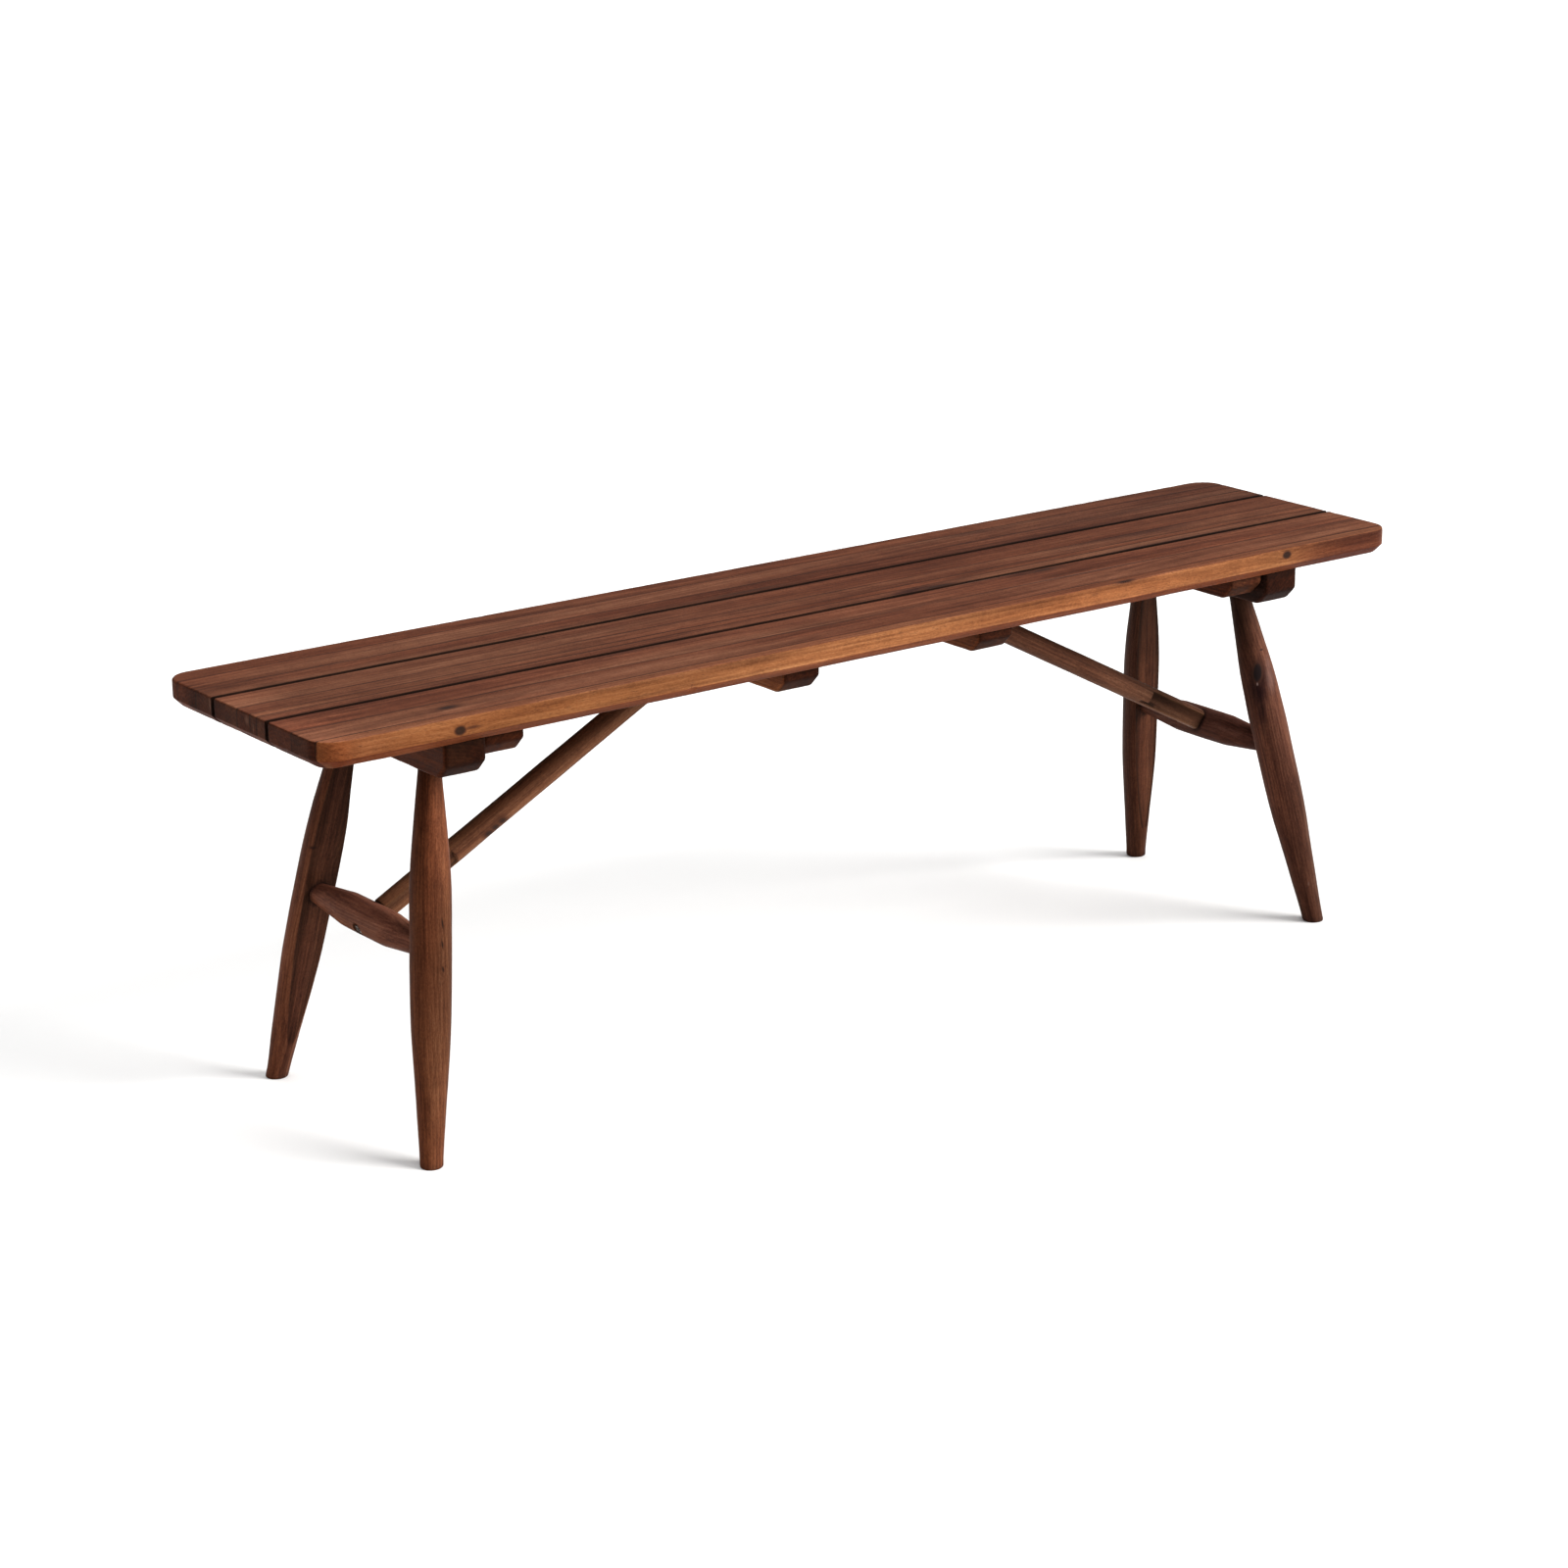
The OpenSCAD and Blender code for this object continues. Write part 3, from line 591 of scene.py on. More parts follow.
def slat(kind):
    rows = [[(x, y, UNDER + z) for x, y in slat_ring(kind, z)] for z in Z_LEVELS]
    verts = [p for row in rows for p in row]
    j = len(rows[0])
    faces = [[k * j + i, k * j + (i + 1) % j, (k + 1) * j + (i + 1) % j, (k + 1) * j + i] for k in range(len(rows) - 1) for i in range(j)]
    faces += [list(range(j)), list(range((len(rows) - 1) * j, len(rows) * j))]
    ob = new_object(f"{kind}_slat_board", verts, faces)
    lo, hi = STAVES[kind][0], STAVES[kind][-1]
    xs = set(np.round(np.arange(-702, 703, 9.0), 3))
    if kind == "front":
        xs |= set(np.round(np.arange(284, 322, 1.6), 3)) | set(np.round(np.arange(-290, -266, 1.6), 3))
    ys = [b for b in STAVES[kind][1:-1]]
    ys += [y for y in np.arange(math.ceil(lo) + 4, hi - 3, 7.5) if min(abs(y - b) for b in STAVES[kind]) > 2.5]
    mid = {"front": SLAT_YS[0], "middle": 0.0, "rear": SLAT_YS[2]}[kind]
    for side in (-1, 1):
        y = mid + side * SLAT_W / 2
        if abs(y) < HY - 1:
            ys = [q for q in ys if abs(q - y) > 4.2] + [y - side * 2.3, y - side * 3.5]
    slices(ob, [(0, xs), (1, ys)])
    me = ob.data
    co, no = coords(me), vertex_normals(me)

    # hand-finished surfaces: faint waves, slightly crowned slats, worn arrises
    yc = {"front": SLAT_YS[0], "middle": 0.0, "rear": SLAT_YS[2]}[kind]
    wave = Wobble(hash_of(kind), (160, 60, 60), 6)
    fine = Wobble(hash_of(kind) + 1, (34, 14, 14), 8)
    top = smoothstep(UNDER + 26, UNDER + 30, co[:, 2])
    co[:, 2] += top * (-0.36 + 0.10 * wave(co) + 0.05 * fine(co) + 0.16 * (1 - ((co[:, 1] - yc) / (SLAT_W / 2)) ** 2))
    side = (1 - top) * smoothstep(UNDER + 6, UNDER + 12, co[:, 2])
    out = np.stack([no[:, 0], no[:, 1], 0 * no[:, 0]], -1)
    co += out * (side * (0.10 * wave(co[:, [1, 0, 2]]) + 0.04 * fine(co) - 0.12))[:, None]
    near_edge = np.minimum.reduce([np.abs(co[:, 2] - (SEAT - 1)), np.abs(co[:, 2] - (UNDER + CHAMFER)), np.abs(co[:, 2] - UNDER)])
    arris_z = smoothstep(3.2, 0.4, near_edge)
    edge_of = np.minimum(HX - np.abs(co[:, 0]), HY - np.abs(co[:, 1]))
    inner = [y for y in (yc - SLAT_W / 2, yc + SLAT_W / 2) if abs(y) < HY - 1]
    gap_side = np.minimum.reduce([np.abs(co[:, 1] - y) for y in inner])
    arris = np.where(edge_of < CHAMFER + 2, arris_z, 0) * smoothstep(-0.35, 0.9, fine(co) * 0.5 + wave(co) * 0.5 + 0.35)
    co -= no * (arris * (0.10 + 0.16 * np.abs(fine(co))))[:, None]
    if kind == "front":
        # torn fibres on the top arris and a small chip on the lower one
        d = np.hypot((co[:, 0] - 302) / 11, (co[:, 2] - SEAT + 0.6) / 2.2)
        hit = smoothstep(1.0, 0.35, d) * (co[:, 1] < -HY + 6)
        co += np.outer(hit * (0.75 + 0.35 * np.sin(co[:, 0] * 1.9)), (0, 0.9, -0.7))
        d = np.hypot((co[:, 0] + 279) / 6.5, (co[:, 2] - UNDER - CHAMFER) / 3.6)
        hit = smoothstep(1.0, 0.3, d) * (co[:, 1] < -HY + 14)
        co += np.outer(hit * (1.5 + 0.4 * np.sin(co[:, 0] * 2.3)), (0, 0.85, 0.5))
    co[:, 2] = np.minimum(co[:, 2], SEAT - 0.03)
    set_coords(me, co)

    # wood-space coordinates, stave by stave
    lv, lf = loop_table(me)
    cen = face_centres(me)
    edges = np.array(STAVES[kind][1:-1])
    sid = (cen[:, 1][:, None] > edges[None]).sum(1)[lf]
    looks = np.array(STAVE_LOOKS[kind])
    c = co[lv]
    lean = np.array([0.010, -0.014, 0.006, -0.008])[sid]
    wc = np.stack(
        [
            c[:, 0] + 1600 * sid,
            c[:, 1] - yc - looks[sid, 2] + lean * c[:, 0],
            c[:, 2] - UNDER - looks[sid, 3] + 0.5 * lean * c[:, 0],
        ],
        -1,
    ) * MM
    tone, warmth = looks[sid, 0], looks[sid, 1].copy()
    face_n = np.zeros(len(me.polygons) * 3)
    me.polygons.foreach_get("normal", face_n)
    face_n = face_n.reshape(-1, 3)[lf]
    tone = tone + np.array([0.16, -0.14, 0.22, -0.05])[sid] * (np.abs(face_n[:, 0]) > 0.8)
    if kind == "front":
        # the outer strip shows pale heartwood on the edge, less so on the top
        nz = face_n[:, 2]
        on_edge = (np.abs(nz) < 0.80) & (nz > -0.35) & (sid == 0)
        fade = 0.92 - 0.42 * smoothstep(600, 660, c[:, 0]) - 0.25 * smoothstep(-600, -660, c[:, 0])
        warmth = np.where(on_edge, fade, np.where(sid == 0, np.where(nz < -0.35, 0.30, 0.16), warmth))
    st = np.stack([tone, warmth, sid + {"front": 1.0, "middle": 11.0, "rear": 21.0}[kind]], -1)
    no = vertex_normals(me)
    ex = np.abs(no[:, 0]) * np.sqrt(np.clip(1 - no[:, 2] ** 2, 0, 1))
    endg = smoothstep(0.35, 0.9, ex)
    if kind == "front":
        endg = np.where(co[:, 1] < -144.2, endg * smoothstep(0.75, 1.0, ex) * 0.5, np.maximum(endg, smoothstep(0.3, 0.6, ex)))
    # painted shade in the gaps between slats, with some dust
    dirt_and_shade = smoothstep(2.0, 0.8, gap_side) * smoothstep(SEAT + 0.1, SEAT - 0.7, co[:, 2])
    dirt_and_shade = np.maximum(dirt_and_shade, 0.95 * smoothstep(4.0, 1.3, gap_side) * (np.abs(co[:, 0]) < HX - 3))
    # the stain is deeper on the ends, the underside's chamfer is painted darker as shade
    #     where it faces down, and the outer strip's edge is paler in its middle part
    low = smoothstep(UNDER + CHAMFER + 0.6, UNDER + CHAMFER - 0.8, co[:, 2])
    edge = smoothstep(SEAT - 0.4, SEAT - 1.6, co[:, 2]) * (edge_of < CHAMFER + 2)
    at_end = smoothstep(0.3, 0.75, ex)
    depth = 1 - 0.10 * at_end * edge
    if kind == "front":
        along = np.interp(co[:, 0], [-710, -600, -430, -270, -30, 310, 480, 560, 610, 710], [0.95, 0.95, 0.97, 1.12, 1.22, 1.38, 1.25, 0.90, 0.66, 0.66])
        depth = depth * (1 + (along - 1) * edge * (1 - at_end) * (co[:, 1] < -144))
    depth = depth * (1 - 0.30 * low * (edge_of < CHAMFER + 2))
    depth = np.stack([depth] * 3, -1)
    depth = depth * (1 + (low * (edge_of < CHAMFER + 2))[:, None] * np.array((0.34, 0.04, -0.14)))
    # the lower arris is paler along the front, partly wear and partly a painted highlight; the edge darkens towards the
    # top
    h = co[:, 2] - UNDER
    rim = smoothstep(CHAMFER - 0.8, CHAMFER + 0.6, h) * smoothstep(CHAMFER + 5.0, CHAMFER + 1.2, h) * (edge_of < CHAMFER + 2) * (1 - at_end)
    if kind == "front":
        rub_and_light = rim * np.interp(co[:, 0], [-600, -450, -150, 600, 660], [0.0, 0.45, 1.0, 1.0, 0.3]) * (co[:, 1] < -140)
        depth = depth * (1 + rub_and_light[:, None] * np.array((0.26, 0.36, 0.44)))
        dusk = smoothstep(14.0, 25.0, h) * np.interp(co[:, 0], [-600, -430, -320, -200, -90, 0, 90, 200, 320, 420, 560, 600, 660], [0.0, 0.10, 0.26, 0.30, 0.08, 0.0, 0.12, 0.26, 0.14, 0.06, 0.14, 0.42, 0.46])
        dusk = dusk * (co[:, 1] < -144) * (h < THICK - 1.2) * (1 - at_end)
        depth = depth * (1 - dusk[:, None] * np.array((1.0, 0.98, 0.86)))
    # painted sheen: the top faces are lighter and greyer, standing in for the reflection of the bright surroundings
    up = smoothstep(SEAT - 1.2, SEAT - 0.5, co[:, 2])[:, None]
    depth = depth * (1 + up * np.array((0.12, 0.22, 0.34)))
    if kind == "rear":
        depth = depth * (1 - 0.16 * up * smoothstep(150, 560, co[:, 0])[:, None] * np.array((1.0, 0.5, 0.1)))
        depth = depth * (1 + 0.58 * (at_end * edge * smoothstep(82, 128, co[:, 1]))[:, None])
    else:
        # feet and hands have worn the stain off at the left end
        depth = depth * (1 + 0.34 * up * smoothstep(-640, -698, co[:, 0])[:, None])
    depth = depth * (1 + 0.22 * (at_end * low * (edge_of < CHAMFER + 2))[:, None])
    if kind == "front":
        # the front slat's top is painted lighter still
        depth = depth * (1 + 0.14 * up)
        mid_part = (edge * (1 - at_end) * smoothstep(-420, -180, co[:, 0]) * (co[:, 1] < -144))[:, None]
        depth = depth * (1 + mid_part * np.array((0.07, 0.20, 0.32)))
        red_part = (edge * (1 - at_end) * smoothstep(520, 620, co[:, 0]) * (co[:, 1] < -144))[:, None]
        depth = depth * (1 + red_part * np.array((-0.04, -0.26, -0.12)))
    # painted shade on the slats' walls in the gaps, lighter near the top of the front slat between x 80 and 300
    gap_shade = 0.72 * smoothstep(3.0, 1.2, gap_side) * smoothstep(UNDER + 4, UNDER + 10, co[:, 2])
    if kind == "front":
        gap_shade = gap_shade * (1 - 0.75 * smoothstep(80, 130, co[:, 0]) * smoothstep(300, 270, co[:, 0]) * smoothstep(SEAT - 2.5, SEAT - 1.2, co[:, 2]))
    depth = depth * (1 - gap_shade)[:, None]
    if kind == "front":
        turn = np.hypot(co[:, 0] + HX, co[:, 1] + HY)
        depth = depth * (1 - (smoothstep(44, 20, turn) * edge)[:, None] * np.array((0.04, 0.18, 0.26)))
    finish_wood(ob, wc, st, arris * 0.45, endg, dirt_and_shade, depth=depth)
    return ob


def hash_of(text):
    return sum((i + 3) * ord(c) for i, c in enumerate(text))


# ---- rails and battens --------------------------------------------------------------
def cross_bar(name, x, z, w, h, length, holes, soft=2.2, seed=1, side_tint=(1, 1, 1), end_tint=(1, 1, 1), cut_tint=(1, 1, 1)):
    c = END_CH
    prof = [(-length / 2 + c, 0), (length / 2 - c, 0), (length / 2, c), (length / 2, h), (-length / 2, h), (-length / 2, c)]
    verts = [(x + s * w / 2, y, z + q) for s in (-1, 1) for y, q in prof]
    n = len(prof)
    faces = [list(range(n)), list(range(n, 2 * n))] + [[i, (i + 1) % n, n + (i + 1) % n, n + i] for i in range(n)]
    ob = new_object(name, verts, faces)
    bm = bmesh.new()
    bm.from_mesh(ob.data)
    low = [e for e in bm.edges if not all(abs(v.co.z - z - h) < 1e-3 for v in e.verts)]
    bmesh.ops.bevel(bm, geom=low, offset=soft, offset_type="OFFSET", segments=4, profile=0.5, affect="EDGES", clamp_overlap=True)
    bm.to_mesh(ob.data)
    bm.free()
    slices(ob, [(1, np.arange(-length / 2 + 5, length / 2 - 3, 8.0)), (0, x + np.linspace(-w / 2, w / 2, 8)[1:-1]), (2, [z + h - 2, z + h - 10])])
    me = ob.data
    co, no = coords(me), vertex_normals(me)
    wave, fine = Wobble(seed, (90, 60, 60), 6), Wobble(seed + 5, (22, 18, 18), 8)
    keep_top = 1 - smoothstep(z + h - 2.5, z + h - 0.2, co[:, 2])
    co += no * ((0.14 * wave(co) + 0.05 * fine(co) - 0.16) * keep_top)[:, None]
    set_coords(me, co)
    if holes:
        carve(ob, holes)
        me = ob.data
        co = coords(me)
    no = vertex_normals(me)
    dx = w / 2 - np.abs(co[:, 0] - x)
    dz = co[:, 2] - z
    dend = length / 2 - np.abs(co[:, 1])
    dch = (dend + dz - c) / math.sqrt(2)
    faces_d = np.stack([dx, dz, dend, dch], -1)
    two = np.sort(np.clip(faces_d, 0, None), -1)[:, 1]
    arris = smoothstep(4.0, 0.6, two) * (co[:, 2] < z + h - 3)
    r = np.random.default_rng(seed)
    ang, dist = r.uniform(-0.9, 0.9), r.uniform(38, 80)
    lean = r.normal(0, 0.02)
    wc = np.stack([co[:, 1] + 900 * seed, (co[:, 0] - x) - dist * math.sin(ang) + lean * co[:, 1], (co[:, 2] - z) + dist * math.cos(ang)], -1) * MM
    endg = smoothstep(0.45, 0.9, np.abs(no[:, 1]))
    # painted shade, with some dirt, along the top where the bar meets the seat's underside
    dirt_and_shade = 0.75 * smoothstep(6, 0.5, z + h - co[:, 2])
    tone = r.uniform(-0.10, 0.05)
    st = np.tile((tone, 0.0, 30.0 + seed), (len(co), 1))
    depth = 1 - 0.45 * smoothstep(0.4, 0.8, np.abs(no[:, 1])) + 0.16 * smoothstep(0.85, 0.98, np.abs(no[:, 1]))
    depth = np.stack([depth] * 3, -1)
    # painted light and shade by face, with some stain: the side toward -X, the upright ends, the cuts under the ends
    side = smoothstep(0.5, 0.9, -no[:, 0])[:, None]
    front = smoothstep(0.82, 0.96, np.abs(no[:, 1]))[:, None]
    cut = smoothstep(0.4, 0.6, np.abs(no[:, 1]))[:, None] * (1 - front)
    for part, tint in ((side, side_tint), (front, end_tint), (cut, cut_tint)):
        depth = depth * (1 + part * (np.array(tint) - 1))
    finish_wood(ob, wc, st, arris * 0.35, endg, dirt_and_shade, depth=depth)
    return ob


def up_hole(x, y, z, profile, seg=32):
    return revolve(profile, Matrix.Translation((x, y, z)), seg)


# ---- legs ------------------------------------------------------------------------------
LEG_MARKS = [(-0.03, 0.52), (0, 0.54), (0.05, 0.61), (0.09, 0.68), (0.13, 0.745), (0.18, 0.83), (0.23, 0.91), (0.28, 0.965),
             (0.33, 0.995), (0.38, 1), (0.45, 0.995), (0.52, 0.985), (0.58, 0.975), (0.64, 0.95), (0.68, 0.915), (0.72, 0.87),
             (0.76, 0.82), (0.8, 0.77), (0.84, 0.72), (0.88, 0.675), (0.92, 0.625), (0.96, 0.58), (1, 0.545), (1.03, 0.53)]


def leg_matrix(sx, sy):
    turn = math.atan2(-sy * LEG_DY, -sx * LEG_DX)
    tilt = math.acos(RAIL_Z / LEG_S)
    return (
        Matrix.Translation((sx * FOOT_X, sy * FOOT_Y, 0))
        @ Matrix.Rotation(turn, 4, "Z")
        @ Matrix.Rotation(tilt, 4, "Y")
        @ Matrix.Rotation(-turn, 4, "Z")
    )


def leg(name, sx, sy, tone, warm, seed, flat_tone=0.0, left_tone=0.0, stain_and_shade=((0, 1, 1),), tint=((1, 1, 1), (1, 1, 1)), arris_band=(0.2, 6.0)):
    m = np.array(leg_matrix(sx, sy))
    t_marks = [a for a, _ in LEG_MARKS]
    d_marks = [b for _, b in LEG_MARKS]

    def radius(s):
        return LEG_D / 2 * spline(t_marks, d_marks, 1 - s / LEG_S)

    def flat(s):
        return FLAT_FOOT + (FLAT_TOP - FLAT_FOOT) * s / LEG_S

    def critical(s):
        return np.arccos(np.clip(flat(s) / radius(s), -1, math.cos(0.24)))

    offs = np.array([0.12, 0.35, 0.7, 1.3, 2.4])
    flat_part, round_part = np.linspace(-1, 1, 13)[1:-1], np.linspace(0, 1, 40)[1:-1]

    def columns(s):
        r, tc = radius(s), critical(s)
        o = offs / r
        a = tc - o[-1] * np.minimum(1, tc / 0.6)
        inner = flat_part * a
        left = np.concatenate([-tc + 0 * o[:1], -tc + o[:4] * np.minimum(1, tc / 0.6)])
        right = -left[::-1]
        start, end = tc + o[-1], 2 * math.pi - tc - o[-1]
        arc = start + (end - start) * round_part
        after = np.concatenate([tc + o[:4], [start]])
        before = 2 * math.pi - after[::-1]
        return np.concatenate([left, inner, right, after, arc, before])

    def ring_point(s, th, inset):
        r, f = radius(s), flat(s)
        c = np.cos(th)
        lim = np.where(c > 0.05, f / np.maximum(c, 0.05), 1e3)
        rho = smin(np.full_like(th, r) if np.isscalar(s) else r, lim, 0.55) - inset
        return np.stack([rho * np.sin(th) * sx, -sy * rho * c, s + 0 * th], -1)

    def world(p):
        return p @ m[:3, :3].T + m[:3, 3]

    rows = []
    s_main = np.concatenate([np.arange(14, LEG_S - 16, 4.2)])
    th0 = columns(14.0)
    for o, inset in ((0.0, 3.2), (0.0, 1.7), (0.22, 0.95), (0.75, 0.36), (1.5, 0.08), (2.6, 0.0), (4.5, 0.0), (7.5, 0.0), (10.5, 0.0)):
        base = world(ring_point(np.full_like(th0, 0.0), th0, inset))
        up = world(ring_point(np.full_like(th0, 10.0), th0, inset))
        s_zero = -base[:, 2] / ((up[:, 2] - base[:, 2]) / 10)
        w_ = smoothstep(1, 12, o)
        s = (s_zero + o) * (1 - w_) + o * w_
        rows.append(world(ring_point(s, th0, inset)))
    for s in s_main:
        th = columns(s)
        rows.append(world(ring_point(np.full_like(th, s), th, 0.0)))
    th1 = columns(s_main[-1])
    base = world(ring_point(np.full_like(th1, LEG_S), th1, 0.0))
    below = world(ring_point(np.full_like(th1, LEG_S - 10), th1, 0.0))
    s_top = LEG_S + (RAIL_Z + 0.6 - base[:, 2]) / ((base[:, 2] - below[:, 2]) / 10)
    for o in (9.0, 4.0, 0.0):
        w_ = 1 - o / 14
        s = (s_top - o) * w_ + (LEG_S - o) * (1 - w_)
        rows.append(world(ring_point(s, th1, 0.0)))
    verts, faces = loft(rows)
    ob = new_object(name, verts, faces)
    me = ob.data
    co = coords(me)
    inv = np.linalg.inv(m)
    loc = co @ inv[:3, :3].T + inv[:3, 3]
    no = vertex_normals(me)
    wave, fine = Wobble(seed, (60, 60, 130), 6), Wobble(seed + 9, (14, 14, 40), 8)
    # turning marks left by the tool, and a hand-sanded surface
    ends = smoothstep(0.5, 8, co[:, 2]) * smoothstep(RAIL_Z + 0.5, RAIL_Z - 8, co[:, 2])
    co += no * ((0.13 * wave(loc) + 0.045 * fine(loc) - 0.10) * ends)[:, None]
    set_coords(me, co)
    no = vertex_normals(me)
    rr, ff = radius(loc[:, 2]), flat(loc[:, 2])
    tc = np.arccos(np.clip(ff / rr, -1, 1))
    th = np.arctan2(np.abs(loc[:, 0]), -sy * loc[:, 1])
    arris = smoothstep(2.8, 0.5, np.abs(th - tc) * rr) * (ff < rr - 0.6)
    arris = np.maximum(arris, smoothstep(5, 1, co[:, 2]))
    endg = smoothstep(0.6, 0.95, np.abs(no[:, 2])) * (co[:, 2] < 2)
    # painted shade, with some dirt, at the top where the leg meets the rail
    dirt_and_shade = 0.85 * smoothstep(RAIL_Z - 9, RAIL_Z - 0.5, co[:, 2])
    # painted shade: a dark ring where the stretcher enters the flat
    d_st = np.hypot(co[:, 0] - sx * ST_X, co[:, 2] - ST_Z)
    on_flat = smoothstep(ff + 2.5, ff + 0.2, -sy * loc[:, 1] + 2 * 0) * 0 + (th < tc + 0.1)
    dirt_and_shade = np.maximum(dirt_and_shade, 0.9 * smoothstep(ST_END_D / 2 + 4.5, ST_END_D / 2 + 0.3, d_st) * on_flat)
    # the foot is darker within 9 mm of the floor
    dirt_and_shade = np.maximum(dirt_and_shade, 0.45 * smoothstep(9, 0, co[:, 2]))
    r = np.random.default_rng(seed)
    ang, dist = r.uniform(0, 2 * math.pi), r.uniform(14, 42)
    wc = np.stack([loc[:, 2] + 700 * seed, loc[:, 0] + dist * math.cos(ang), loc[:, 1] + dist * math.sin(ang)], -1) * MM
    on_face = smoothstep(1.0, -1.0, (th - tc) * rr)
    # the side toward -X takes left_tone, painted shade away from the key light where it is negative; the flat takes
    # flat_tone
    shade = tone + flat_tone * on_face + left_tone * smoothstep(-0.1, -0.75, no[:, 0]) * (1 - on_face)
    st = np.stack([shade, 0 * shade + warm, 0 * shade + 50.0 + seed], -1)
    # mostly painted light and shade, with some uneven stain: (mm from the foot, side toward -X, side toward +X)
    s_, a_, b_ = (np.array([row[k] for row in stain_and_shade], float) for k in range(3))
    lat = smoothstep(-0.55, 0.55, no[:, 0] * 0.81 - no[:, 1] * 0.59)
    depth = np.interp(loc[:, 2], s_, a_) * (1 - lat) + np.interp(loc[:, 2], s_, b_) * lat
    # the flat is darker in a band beside its arrises, and just past the arris a lighter strip is a painted highlight
    off = (th - tc) * rr
    cut = ff < rr - 0.6
    depth = depth * (1 - arris_band[0] * cut * smoothstep(-arris_band[1], -0.3 * arris_band[1], off) * smoothstep(0.5, -0.5, off))
    depth = depth * (1 + 0.14 * cut * smoothstep(-0.4, 0.6, off) * smoothstep(5.0, 1.5, off))
    lat = lat[:, None]
    finish_wood(ob, wc, st, arris * 0.6, endg, dirt_and_shade, depth=depth[:, None] * (np.array(tint[0]) * (1 - lat) + np.array(tint[1]) * lat))
    return ob


# ---- stretchers and braces ---------------------------------------------------------------
def brace_matrix(sx):
    """Local +Z along the brace from the stretcher's axis, +X up."""
    flip = Matrix.Scale(-1, 4, (1, 0, 0)) if sx < 0 else Matrix.Identity(4)
    return flip @ Matrix.Translation((ST_X, 0, ST_Z)) @ Matrix.Rotation(-math.radians(90 - BR_TILT), 4, "Y")


def st_radius(u):
    a = np.abs(u)
    belly = ST_D / 2 - 0.25 * (a / ST_BELLY) ** 2
    taper = ST_D / 2 - 0.25 - (ST_D / 2 - 0.25 - ST_END_D / 2) * (a - ST_BELLY) / (ST_ROUND - ST_BELLY)
    return np.maximum(smin(np.atleast_1d(belly), np.atleast_1d(taper), 0.2)[0], ST_END_D / 2)


def stretcher(name, sx, tone, seed, depth, tint):
    ys = np.concatenate([[-ST_SH_Y], np.linspace(-ST_SH_Y + 2, ST_SH_Y - 2, 81), [ST_SH_Y]])
    th = np.linspace(0, 2 * math.pi, 72, endpoint=False)
    wave = Wobble(seed, (60, 110, 60), 6)
    rows = []
    for y in ys:
        r = st_radius(y / ST_SH_Y)
        rows.append(np.stack([sx * ST_X + r * np.cos(th), 0 * th + y, ST_Z + r * np.sin(th)], -1))
    ob = new_object(name, *loft(rows))
    me = ob.data
    co = coords(me)
    no = vertex_normals(me)
    co += no * ((0.12 * wave(co) - 0.10) * smoothstep(ST_SH_Y, ST_SH_Y - 6, np.abs(co[:, 1])))[:, None]
    set_coords(me, co)
    m = brace_matrix(sx)
    seat = revolve([(0, BR_FOOT), (BR_D / 2 + 0.12, BR_FOOT), (BR_D / 2 + 0.12, 40), (0, 40)], m, 72)
    rec = ST_RECESS_D / 2
    bolt = revolve([(0, -44), (rec, -44), (rec, -BOLT_SEAT), (3.3, -BOLT_SEAT), (3.3, BR_FOOT + 1), (0, BR_FOOT + 1)], m, 48)
    carve(ob, [seat])
    carve(ob, [bolt])
    me = ob.data
    co = coords(me)
    no = vertex_normals(me)
    inv = np.linalg.inv(np.array(m))
    loc = co @ inv[:3, :3].T + inv[:3, 3]
    rad = np.hypot(loc[:, 0], loc[:, 1])
    # painted shade, with some dirt: where the stretcher enters the legs, around the brace's seat and in the bolt recess
    dirt_and_shade = 0.85 * smoothstep(ST_SH_Y - 12, ST_SH_Y - 3, np.abs(co[:, 1]))
    dirt_and_shade = np.maximum(dirt_and_shade, 0.9 * smoothstep(BR_D / 2 + 4, BR_D / 2, rad) * (loc[:, 2] > 4))
    dirt_and_shade = np.maximum(dirt_and_shade, 0.8 * (rad < rec + 0.05) * (loc[:, 2] < -BOLT_SEAT + 9))
    arris = smoothstep(rec + 1.6, rec + 0.2, rad) * (loc[:, 2] < -6)
    r = np.random.default_rng(seed)
    ang, dist = r.uniform(0, 2 * math.pi), r.uniform(14, 38)
    wc = np.stack([co[:, 1] + 700 * seed, co[:, 0] - sx * ST_X + dist * math.cos(ang), co[:, 2] - ST_Z + dist * math.sin(ang)], -1) * MM
    st = np.tile((tone, 0.0, 60.0 + seed), (len(co), 1))
    # painted light: the upper side lighter and greyer, the lower side darker and redder, as lit from above
    high = smoothstep(-0.4, 0.5, no[:, 2])[:, None]
    rub_and_light = high * np.array((1.34, 1.44, 1.64)) + (1 - high) * np.array((1.0, 0.94, 0.86))
    # painted shade on the bolt recess's wall
    wall = smoothstep(rec + 0.1, rec - 0.2, rad) * (loc[:, 2] < -BOLT_SEAT + 0.5)
    finish_wood(ob, wc, st, arris, 0 * dirt_and_shade, dirt_and_shade, sharp=45, depth=depth * rub_and_light * np.array(tint) * (1 - 0.45 * wall)[:, None])
    return ob


